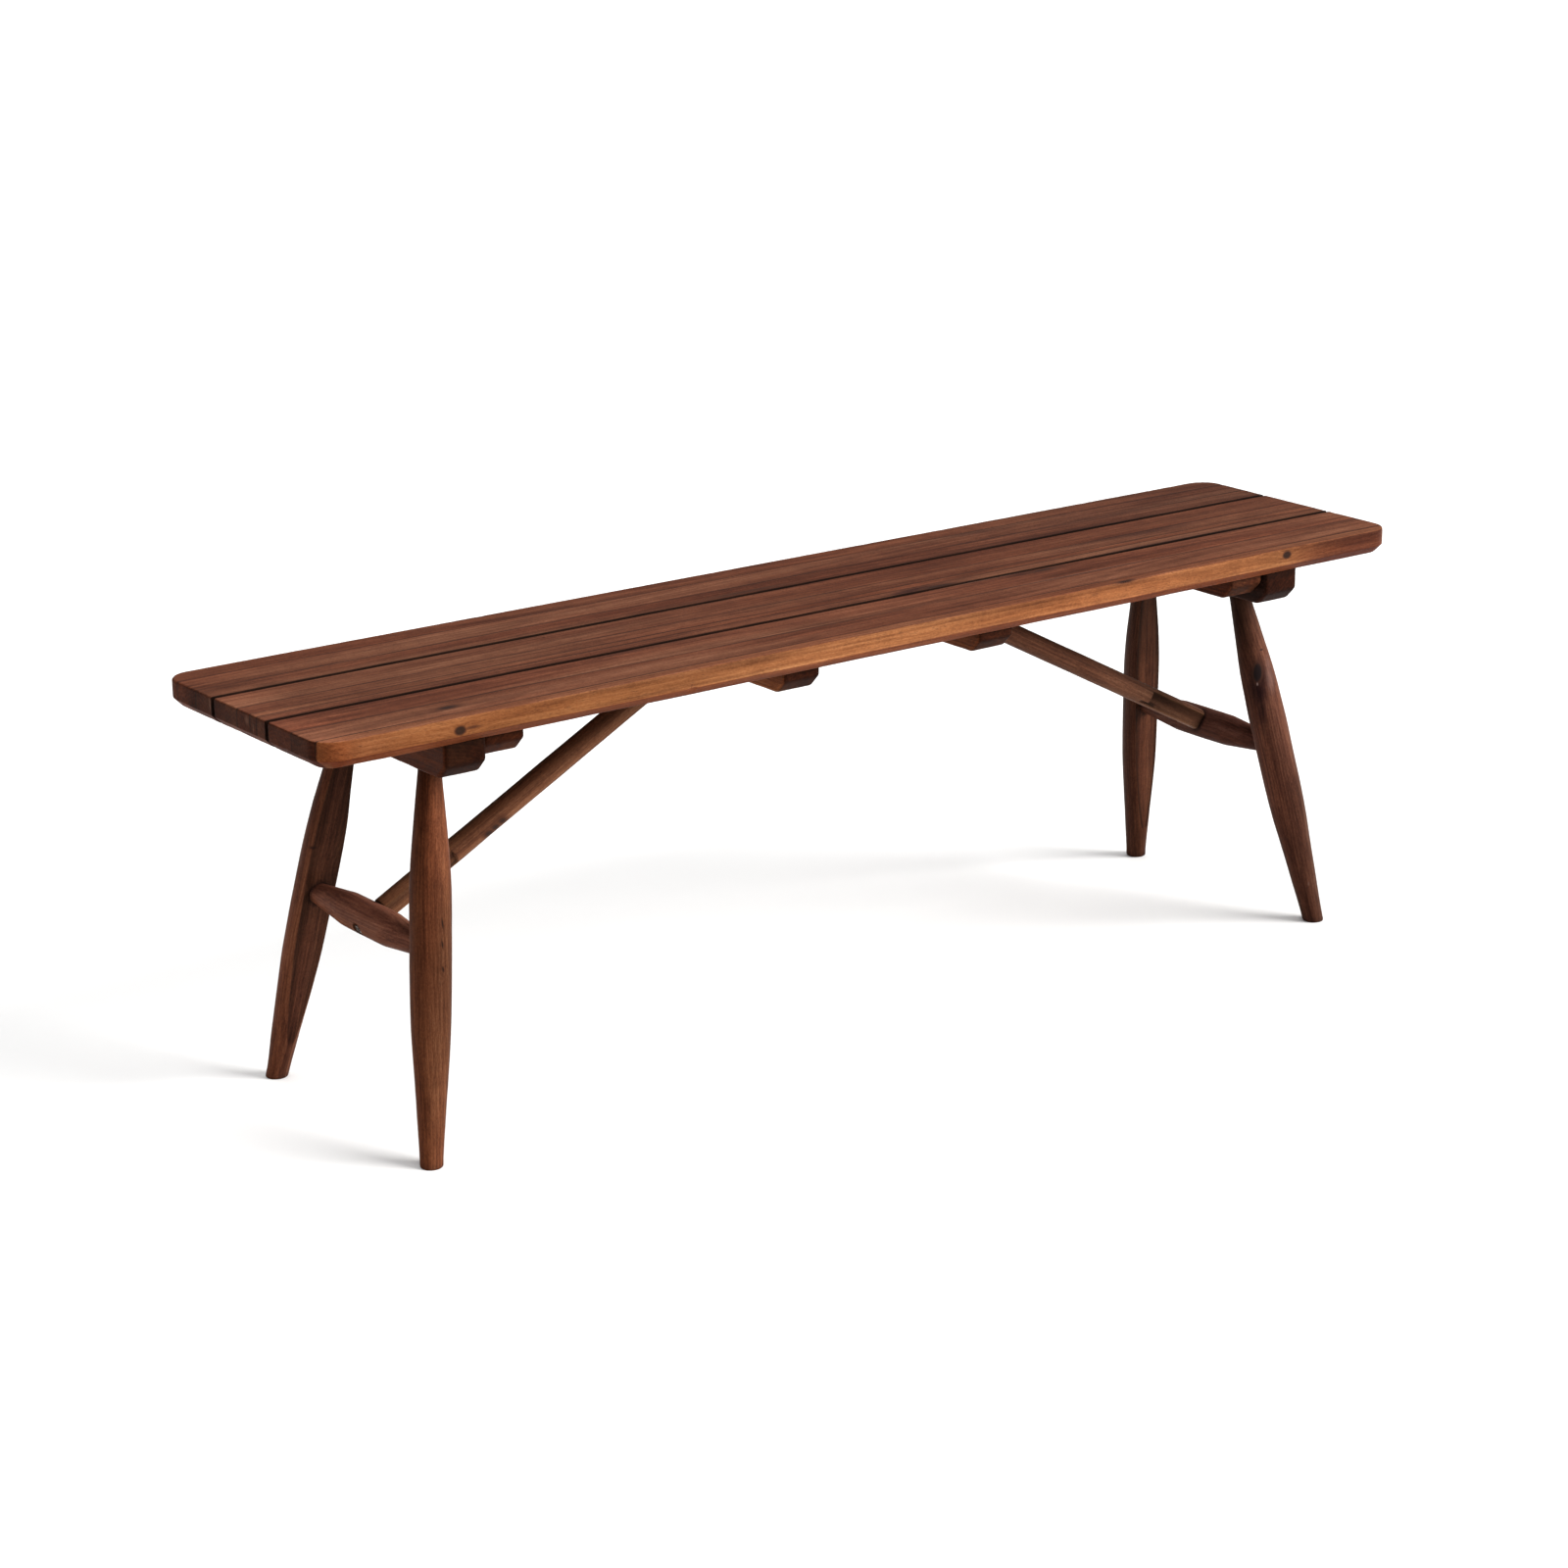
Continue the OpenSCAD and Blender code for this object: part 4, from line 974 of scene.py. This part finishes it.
def brace(name, sx, tone, warm, seed, stain_and_shade, tint):
    """Round brace: a planed flat and a narrow groove at its lower end, and its
    top cut flush against the batten and the seat."""
    m = np.array(brace_matrix(sx))
    R = BR_D / 2
    th_f, th_g = math.radians(BR_FLAT_TURN), math.radians(222)
    tc = math.acos((R - BR_FLAT_DEPTH) / R)
    fine_off = np.array([0.0, 0.12, 0.3, 0.6, 1.1]) / R
    special = [th_f + s * tc + q * o for s in (-1, 1) for o in fine_off for q in (-1, 1)]
    g_edge = math.asin(2.0 / R)
    special += [th_g + s * (g_edge + d) for s in (-1, 1) for d in (-0.045, -0.012, 0.0, 0.010, 0.045)]
    th = np.array(sorted(set(np.round([a % (2 * math.pi) for a in list(np.linspace(0, 2 * math.pi, 60, endpoint=False)) + special], 5))))
    keep = [0]
    for i in range(1, len(th)):
        if th[i] - th[keep[-1]] > 0.006:
            keep.append(i)
    th = th[keep]
    cut_x = BR_TOP_X
    ct, sn = math.cos(math.radians(BR_TILT)), math.sin(math.radians(BR_TILT))

    def rho(s, inset=0.0):
        r = np.full_like(th, R)
        # planed flat: run-out at its upper end
        depth = BR_FLAT_DEPTH * (1 - smoothstep(BR_FOOT + BR_FLAT_L - 0.6, BR_FOOT + BR_FLAT_L + 2.4, s))
        c = np.cos(th - th_f)
        lim = np.where(c > 0.3, (R - depth) / np.maximum(c, 0.3), 1e3)
        r = smin(r, lim, 0.35)
        r = np.where(c > 0.3, r, R)
        # groove
        s0 = BR_FOOT + BR_FLAT_L + 2
        q = 30**2 - (s - s0) ** 2
        if q > 0:
            floor = R + 27.5 - math.sqrt(q)
            t = R * np.sin(th - th_g)
            inside = (np.abs(t) < 2.02) & (np.cos(th - th_g) > 0)
            r = np.where(inside & (floor < r), floor, r)
        return r - inset

    def pts(s, r):
        loc = np.stack([r * np.cos(th), r * np.sin(th), s + 0 * th], -1)
        return loc

    br_len = (ST_X - cut_x) / ct + 20
    rows = []
    for o, inset in ((0.0, 3.0), (0.0, 1.35), (0.28, 0.6), (0.75, 0.2), (1.5, 0.0), (3.0, 0.0)):
        rows.append(pts(BR_FOOT + o, rho(BR_FOOT + o, inset)))
    r0 = rho(BR_FOOT + 260)
    # each column ends on the batten's face or the seat's underside
    lx, ly = r0 * np.cos(th), r0 * np.sin(th)
    s_x = (ST_X - cut_x - 0.02 - lx * sn) / ct
    s_z = (UNDER - 0.02 - ST_Z - lx * ct) / sn
    s_end = np.minimum(s_x, s_z)
    nose = BR_FOOT + BR_FLAT_L
    s_body = np.concatenate([np.arange(BR_FOOT + 5, nose - 2, 2.5), np.arange(nose - 1.6, nose + 4, 0.4), np.arange(nose + 5, nose + 40, 2.5), np.arange(nose + 42, s_end.min() - 6, 6.0)])
    for s in s_body:
        rows.append(pts(s, rho(s)))
    last = s_body[-1]
    for f in (0.25, 0.5, 0.75, 1.0):
        s = last + (s_end - last) * f
        rows.append(np.stack([lx, ly, s], -1))
    rows = np.array(rows)
    verts, faces = loft(rows)
    verts = np.array(verts)
    # the middle of the top cap lies on both cut planes' edge
    verts[-1, :2] = (0, 0)
    verts[-1, 2] = min((ST_X - cut_x - 0.02) / ct, (UNDER - 0.02 - ST_Z) / sn)
    w = verts @ m[:3, :3].T + m[:3, 3]
    ob = new_object(name, w, faces)
    me = ob.data
    co, no = coords(me), vertex_normals(me)
    inv = np.linalg.inv(m)
    loc = co @ inv[:3, :3].T + inv[:3, 3]
    wave = Wobble(seed, (60, 60, 120), 6)
    ends = smoothstep(BR_FOOT + 1, BR_FOOT + 6, loc[:, 2]) * smoothstep(s_end.min(), s_end.min() - 15, loc[:, 2])
    co += no * ((0.11 * wave(loc) - 0.09) * ends)[:, None]
    set_coords(me, co)
    axis_z = ST_Z + math.tan(math.radians(BR_TILT)) * (ST_X - BR_SCREW_X)
    low_z = axis_z - BR_D / 2 / ct
    mm_ = brace_matrix(sx)
    turn = Matrix.Rotation(math.radians(BR_FLAT_TURN - 270), 4, "Z")
    nut = revolve([(0, 0), (5.05, 0), (5.05, 34), (0, 34)], mm_ @ turn @ Matrix.Translation((0, 0, NUT_S)) @ Matrix.Rotation(math.radians(-90), 4, "Y") @ Matrix.Translation((0, 0, -8.05)), 40)
    screw = revolve([(0, -12), (4.05, -12), (4.05, 3.5), (2.05, 6.5), (2.05, 7.5), (0, 7.5)], Matrix.Translation((sx * BR_SCREW_X, 0, low_z)), 40)
    carve(ob, [nut, screw])
    me = ob.data
    co, no = coords(me), vertex_normals(me)
    loc = co @ inv[:3, :3].T + inv[:3, 3]
    a = np.arctan2(loc[:, 1], loc[:, 0]) % (2 * math.pi)
    da = np.minimum(np.abs(a - (th_f - tc)), np.abs(a - (th_f + tc))) * R
    arris = smoothstep(2.2, 0.4, da) * (loc[:, 2] < BR_FOOT + BR_FLAT_L)
    arris = np.maximum(arris, smoothstep(4, 0.8, loc[:, 2] - BR_FOOT))
    rad = np.hypot(loc[:, 0], loc[:, 1])
    s0 = BR_FOOT + BR_FLAT_L + 2
    groove = (np.abs(R * np.sin(a - th_g)) < 2.3) * (np.cos(a - th_g) > 0) * smoothstep(R - 0.1, R - 0.9, rad) * (np.abs(loc[:, 2] - s0) < 14)
    # painted shade, with some dirt: in the groove, near the top where the brace meets the batten and the seat, and at
    # its foot
    dirt_and_shade = np.maximum(groove * 0.8, 0.75 * smoothstep(13, 1, s_end.min() - loc[:, 2] + 6))
    top = np.minimum(UNDER - co[:, 2], np.abs(co[:, 0]) - cut_x)
    dirt_and_shade = np.maximum(dirt_and_shade * (loc[:, 2] < s0 + 30), 0.8 * smoothstep(6, 0.4, top))
    dirt_and_shade = np.maximum(dirt_and_shade, 0.5 * smoothstep(3.5, 0.0, loc[:, 2] - BR_FOOT))
    endg = smoothstep(0.6, 0.95, np.abs(no @ (m[:3, :3] @ np.array((0, 0, 1.0))))) * (loc[:, 2] < BR_FOOT + 2)
    r = np.random.default_rng(seed)
    ang, dist = r.uniform(0, 2 * math.pi), r.uniform(10, 34)
    wc = np.stack([loc[:, 2] + 900 * seed, loc[:, 0] + dist * math.cos(ang), loc[:, 1] + dist * math.sin(ang)], -1) * MM
    st = np.tile((tone, warm, 70.0 + seed), (len(co), 1))
    # painted shade: darker on the upper side, on the planed flat, most on its upper part, and next to the nose as the
    # nose's shadow
    on_flat = smoothstep(0.12, -0.05, np.abs((a - th_f + math.pi) % (2 * math.pi) - math.pi) - tc) * smoothstep(nose + 1.5, nose - 0.5, loc[:, 2])
    high = smoothstep(-0.2, 0.7, loc[:, 0] / R)
    upper = smoothstep(-0.15, 0.20, (a - th_f + math.pi) % (2 * math.pi) - math.pi)
    depth = stain_and_shade * (1 - 0.30 * high) * (1 - on_flat * ((0.22 if sx < 0 else 0.38) + 0.16 * smoothstep(nose - 34, nose - 4, loc[:, 2]) + 0.24 * upper))
    finish_wood(ob, wc, st, arris, endg, dirt_and_shade, sharp=42, depth=depth[:, None] * np.array(tint))
    return ob


# ---- build -------------------------------------------------------------------------------
def wear(ob, mat, nodes):
    ob.data.materials.clear()
    ob.data.materials.append(mat)
    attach(ob, "root")
    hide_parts(*nodes)


SLAT_MARKS = {
    "front": [
        ("knot", (-555, -160, SEAT - 13.5), (10, 7, 7), 1.0),
        ("streak", (-540, -160, SEAT - 12.5), (20, 5, 3.6), 0.65),
        ("knot", (543, -160, SEAT - 8.0), (9.5, 6, 6.5), 0.95),
        ("streak", (-546, -122.5, SEAT), (32, 12, 5), 0.9),
        ("streak", (262, -63, SEAT), (50, 8, 6), 0.85),
        ("stain_and_shade", (246, -63, SEAT), (58, 12, 6), 0.78),
        ("streak", (258, -160, SEAT - 7.8), (13, 4, 4), 0.35),
        ("streak", (302, -157, SEAT - 0.6), (25, 7, 2.6), 0.90),
        ("stain_and_shade", (-395, -161, SEAT - 2.0), (130, 6, 5), 0.40),
        ("stain_and_shade", (300, -158, SEAT - 1.5), (56, 9, 5), 0.40),
        ("pale", (190, -56.0, SEAT - 0.2), (95, 1.9, 1.6), 0.85),
        ("pale", (285, -101, SEAT), (150, 1.5, 2), 0.34),
        ("streak", (-710, -96, SEAT - 14.0), (3, 1.5, 10), 0.45),
        ("stain_and_shade", (612, -161, SEAT - 18.0), (60, 5, 4), 0.45),
        ("stain_and_shade", (655, -159, SEAT - 11.0), (42, 6, 3), 0.40),
    ],
    "middle": [
        ("streak", (128, -47, SEAT), (50, 8, 6), 0.80),
        ("stain_and_shade", (104, -44, SEAT), (56, 13, 6), 0.90),
        # painted shade along the front gap's edge of the middle slat
        ("stain_and_shade", (440, -51, SEAT), (190, 9, 6), 0.60),
        ("stain_and_shade", (470, 0, SEAT), (110, 18, 6), 0.52),
        ("pale", (-710, -15, SEAT - 7.0), (3, 6, 7), 0.20),
        ("pale", (-710, -27, SEAT - 14.0), (3, 1.2, 9), 0.30),
        ("streak", (-253, 16, SEAT), (30, 6, 5), 0.40),
        ("streak", (-431, -30, SEAT), (22, 5, 5), 0.35),
    ],
    "rear": [
        ("streak", (-45, 66, SEAT), (125, 9, 6), 0.70),
        ("streak", (-640, 64, SEAT), (40, 12, 6), 0.45),
        ("stain_and_shade", (323, 119, SEAT), (80, 14, 5), 0.46),
        # painted shade along the rear gap's edge of the rear slat
        ("stain_and_shade", (420, 58, SEAT), (190, 8, 6), 0.50),
        ("pale", (-710, 60, SEAT - 9.0), (3, 1.8, 10), 0.36),
    ],
}

for kind in ("front", "middle", "rear"):
    ob = slat(kind)
    wear(ob, wood(f"{kind}_slat_wood", marks=SLAT_MARKS[kind], contrast=0.88, veins=0.85, joints=STAVES[kind][1:-1]), [f"{kind}_slat"])

bat_hole = [(0, -3), (4.05, -3), (4.05, 1.5), (2.05, 4.5), (2.05, 8), (0, 8)]
rail_hole = [(0, -3), (6.6, -3), (6.6, 8), (3.3, 8), (3.3, 14), (0, 14)]
# colour on each bar by face, mostly painted light and shade with some stain, such as the right rail's shaded side and
# the right end batten's lit ends: side, upright ends, cuts under the ends
BAR_TINTS = {
    ("left", "rail"): ((1.30, 0.90, 0.55), (1.04, 1.0, 0.88), (0.90, 0.80, 0.72)),
    ("right", "rail"): ((0.36, 0.44, 0.60), (1.50, 1.50, 1.50), (0.90, 0.90, 1.0)),
    ("left", "end"): ((1.2, 1.1, 0.9), (1.3, 1.03, 0.75), (1.5, 1.15, 0.75)),
    ("right", "end"): ((1.5, 1.3, 1.15), (3.4, 3.6, 3.4), (2.2, 2.3, 2.1)),
    ("left", "mid"): ((2.6, 2.35, 1.75), (1.3, 1.1, 0.9), (1.1, 0.95, 0.75)),
    ("right", "mid"): ((2.3, 2.2, 1.75), (1.9, 1.8, 1.6), (1.4, 1.3, 1.1)),
}
# rails and battens take darker copies of the wood: darker wood, and painted shade under the seat
RAIL_WOOD = wood("rail_oiled_wood", shade=0.50)
BATTEN_WOOD = wood("batten_oiled_wood", shade=0.56)
for side, sx in (("left", -1), ("right", 1)):
    ob = cross_bar(f"{side}_leg_rail_bar", sx * RAIL_X, RAIL_Z, RAIL_W, RAIL_H, RAIL_L,
                   [up_hole(sx * RAIL_X, y, RAIL_Z, rail_hole, 48) for y in (-127, 127)], 4.6, 3 + sx, *BAR_TINTS[side, "rail"])
    wear(ob, RAIL_WOOD, [f"{side}_leg_rail"])
    for pos_name, x, seed in (("end", END_BAT_X, 11), ("mid", MID_BAT_X, 17)):
        ob = cross_bar(f"{side}_{pos_name}_batten_bar", sx * x, BAT_Z, BAT_W, BAT_H, BAT_L,
                       [up_hole(sx * x, y, BAT_Z, bat_hole) for y in SCREW_YS], 4.0, seed + sx, *BAR_TINTS[side, pos_name])
        wear(ob, BATTEN_WOOD, [f"{side}_{pos_name}_batten"])


def leg_mark(sx, sy, s, around, rad, radii, kind="streak", strength=0.9):
    """A mark on a leg's skin, s mm up its axis, around degrees from +X."""
    p = leg_matrix(sx, sy) @ Vector((rad * math.cos(math.radians(around)), rad * math.sin(math.radians(around)), s))
    return (kind, tuple(p), radii, strength)


LEGS = {
    "front_left_leg": (-1, -1, 0.04, 0.12, 101, 0.0, 0.0, ((0, 1.05, 1.25), (70, 1.12, 1.0), (135, 1.06, 0.74), (200, 1.0, 0.6), (255, 1.1, 0.74), (310, 0.88, 1.3), (350, 0.66, 1.42), (395, 0.58, 1.0)), [
        *[leg_mark(-1, -1, s, a, 21.2, (1.9, 1.9, r), "streak", 0.85) for s, a, r in ((243, 273, 22.0), (223, 272, 12.0), (199, 274, 6.0))]]),
    "rear_left_leg": (-1, 1, 0.0, 0.08, 102, -0.36, 0.04, ((0, 1.15, 1.0), (90, 1.3, 1.12), (140, 1.3, 0.94), (200, 1.28, 0.86), (255, 1.08, 0.76), (300, 0.85, 0.66), (400, 0.8, 0.6)), [
        leg_mark(-1, 1, 272, 207, 19.5, (7, 7, 3.4), "streak", 0.8),
        leg_mark(-1, 1, 248, 282, 17.5, (8, 7, 9), "knot", 0.85)]),
    "front_right_leg": (1, -1, 0.02, 0.05, 103, 0.0, -0.10, ((0, 0.8, 0.56), (90, 0.88, 0.6), (160, 1.2, 0.64), (230, 1.15, 1.05), (280, 0.85, 1.2), (326, 0.63, 1.3), (372, 0.26, 0.6), (400, 0.22, 0.42)), [
        leg_mark(1, -1, 300, 228, 20, (18, 18, 46), "stain_and_shade", 0.96),
        leg_mark(1, -1, 288, 227, 20, (13, 13, 34), "stain_and_shade", 1.0),
        leg_mark(1, -1, 266, 219, 20, (9, 9, 32), "stain_and_shade", 0.76),
        leg_mark(1, -1, 310, 232, 19, (9, 9, 21), "knot", 0.9),
        leg_mark(1, -1, 246, 215, 20, (3, 3, 20), "streak", 0.6),
        leg_mark(1, -1, 297, 223, 21, (1.7, 1.7, 3.0), "pale", 1.0),
        # painted highlight: the next two broad pale marks stand for the key light's sheen on the leg's bulge
        leg_mark(1, -1, 314, 280, 19, (6.5, 6.5, 24), "pale", 0.14),
        leg_mark(1, -1, 300, 275, 20, (9, 9, 34), "pale", 0.16),
        leg_mark(1, -1, 334, 267, 17, (5, 5, 2.4), "streak", 0.9),
        leg_mark(1, -1, 48, 247, 14, (2.2, 2.2, 5.0), "pale", 0.30),
        leg_mark(1, -1, 44, 237, 14, (4, 4, 2.6), "streak", 0.6)]),
    "rear_right_leg": (1, 1, 0.02, 0.06, 104, -0.02, -0.26, ((0, 0.72, 0.5), (60, 0.72, 0.62), (112, 0.68, 0.8), (190, 0.7, 0.8), (240, 0.66, 0.8), (290, 0.7, 0.54), (400, 0.62, 0.45)), []),
}
# (tint toward -X, tint toward +X, the mostly greyer +X tint being a painted sheen on the lit side), (how dark the flat
# is beside its arris, how wide)
LEG_LOOKS = {
    "front_left_leg": (((1.02, 0.96, 0.90), (1.0, 1.05, 1.06)), (0.20, 6.0)),
    "rear_left_leg": (((1.02, 1.0, 1.04), (1.0, 1.15, 1.34)), (0.42, 10.0)),
    "front_right_leg": (((1.0, 1.22, 1.56), (1.0, 1.24, 1.62)), (0.20, 6.0)),
    "rear_right_leg": (((1.0, 1.1, 1.3), (1.06, 1.20, 1.34)), (0.66, 4.5)),
}
for name, (sx, sy, tone, warm, seed, flat_tone, left_tone, stain_and_shade, marks) in LEGS.items():
    ob = leg(f"{name}_turned", sx, sy, tone, warm, seed, flat_tone, left_tone, stain_and_shade, *LEG_LOOKS[name])
    wear(ob, wood(f"{name}_wood", marks=marks, rings=0.0032, shade=0.86), [name])


def brace_mark(sx, s, x, y, radii, kind="streak", strength=0.8):
    """A mark on a brace, s mm up its axis; x points up and y to the rear."""
    return (kind, tuple(brace_matrix(sx) @ Vector((x, y, s))), radii, strength)


BRACE_MARKS = {
    -1: [brace_mark(-1, s, x, -12.0, (19, 12, 12), "streak", 0.95) for s, x in ((153, -5.5), (163, -4.8), (173, -4.2))],
    1: [],
}
STRETCHER_WOOD = wood("stretcher_oiled_wood", shade=0.85, rings=0.003)
for side, sx in (("left", -1), ("right", 1)):
    ob = stretcher(f"{side}_stretcher_turned", sx, -0.04, 6 + sx, 1.35 if sx < 0 else 0.75, (1.03, 1.08, 1.18) if sx < 0 else (0.95, 0.93, 1.12))
    wear(ob, STRETCHER_WOOD, [f"{side}_stretcher"])
    ob = brace(f"{side}_brace_round", sx, 0.03 if sx < 0 else -0.03, 0.12 if sx < 0 else 0.0, 14 + sx,
               1.14 if sx < 0 else 1.0, (1.03, 1.14, 1.22) if sx < 0 else (1.08, 1.30, 1.48))
    wear(ob, wood(f"{side}_brace_wood", marks=BRACE_MARKS[sx], rings=0.003, shade=0.92), [f"{side}_brace"])

STEEL = metal("zinc_plated_steel", (0.62, 0.62, 0.61), 0.34)
BOLT = metal("dark_bolt_steel", (0.56, 0.52, 0.48), 0.24, 0.35)
WASHER = metal("washer_steel_finish", (0.58, 0.58, 0.57), 0.40)
YELLOW = metal("screw_steel_finish", (0.52, 0.44, 0.28), 0.38)
BRASS = metal("insert_brass_finish", (0.70, 0.50, 0.22), 0.36)
for node, mat in {
    "left_stretcher_bolt": BOLT, "right_stretcher_bolt": BOLT, "rail_bolts": STEEL, "barrel_nuts": STEEL,
    "bolt_washers": WASHER, "batten_screws": YELLOW, "brace_top_screws": YELLOW, "insert_nuts": BRASS,
}.items():
    ob = frame["nodes"][node]
    for s in ob.material_slots:
        s.material = mat
    if not ob.material_slots:
        ob.data.materials.append(mat)

# ---- floor, light and camera -----------------------------------------------------------------
floor_me = bpy.data.meshes.new("floor")
floor_me.from_pydata([(-30, -30, 0), (30, -30, 0), (30, 60, 0), (-30, 60, 0)], [], [(0, 1, 2, 3)])
floor = bpy.data.objects.new("floor", floor_me)
scene.collection.objects.link(floor)
fg = Graph("pale_floor")
fn = fg.noise(fg.position(), 6.0, 3.0, 0.5)
fg.plug(fg.mix(fn, (0.86, 0.86, 0.86), (0.89, 0.89, 0.885)), fg.bsdf.inputs["Base Color"])
fg.bsdf.inputs["Roughness"].default_value = 0.9
fg.bsdf.inputs["Specular IOR Level"].default_value = 0.1
floor_me.materials.append(fg.mat)

world = bpy.data.worlds.new("studio")
scene.world = world
world.use_nodes = True
bg = next(n for n in world.node_tree.nodes if n.type == "BACKGROUND")
bg.inputs[0].default_value = (1.0, 1.0, 1.0, 1.0)
bg.inputs[1].default_value = 0.22
seen = world.node_tree.nodes.new("ShaderNodeBackground")
seen.inputs[1].default_value = 1.0
seen.inputs[0].default_value = (1.0, 1.0, 1.0, 1.0)
ray = world.node_tree.nodes.new("ShaderNodeLightPath")
either = world.node_tree.nodes.new("ShaderNodeMixShader")
world_out = next(n for n in world.node_tree.nodes if n.type == "OUTPUT_WORLD")
world.node_tree.links.new(ray.outputs["Is Camera Ray"], either.inputs[0])
world.node_tree.links.new(bg.outputs[0], either.inputs[1])
world.node_tree.links.new(seen.outputs[0], either.inputs[2])
world.node_tree.links.new(either.outputs[0], world_out.inputs["Surface"])


def sun(name, direction, strength, angle, color=(1, 1, 1)):
    """direction: where the light comes from."""
    la = bpy.data.lights.new(name, "SUN")
    la.energy, la.angle, la.color = strength, math.radians(angle), color
    ob = bpy.data.objects.new(name, la)
    scene.collection.objects.link(ob)
    ob.rotation_mode = "QUATERNION"
    ob.rotation_quaternion = (-Vector(direction)).to_track_quat("-Z", "Y")
    ob.location = Vector(direction) * 5
    return ob


sun("key", (0.66, -0.78, 0.50), 4.9, 34, (1.0, 0.99, 0.975))
sun("overhead", (0.05, -0.05, 1.0), 2.3, 100, (1.0, 1.0, 1.0))

cam_data = bpy.data.cameras.new("camera")
cam = bpy.data.objects.new("camera", cam_data)
scene.collection.objects.link(cam)
scene.camera = cam
cam_data.sensor_fit = "HORIZONTAL"
cam_data.sensor_width = 36.0
cam_data.lens = 89.06
cam_data.clip_start, cam_data.clip_end = 0.1, 200.0
yaw, pitch, roll = (math.radians(a) for a in (36.329, 17.158, -0.632))
fw = Vector((math.sin(yaw) * math.cos(pitch), math.cos(yaw) * math.cos(pitch), -math.sin(pitch)))
rt = Vector((math.cos(yaw), -math.sin(yaw), 0.0))
up = rt.cross(fw)
rt2 = math.cos(roll) * rt + math.sin(roll) * up
up2 = -math.sin(roll) * rt + math.cos(roll) * up
cam.matrix_world = Matrix.Translation((-2.4426, -3.2555, 1.5021)) @ Matrix((rt2, up2, -fw)).transposed().to_4x4()

scene.view_settings.view_transform = "Standard"
scene.view_settings.look = "None"
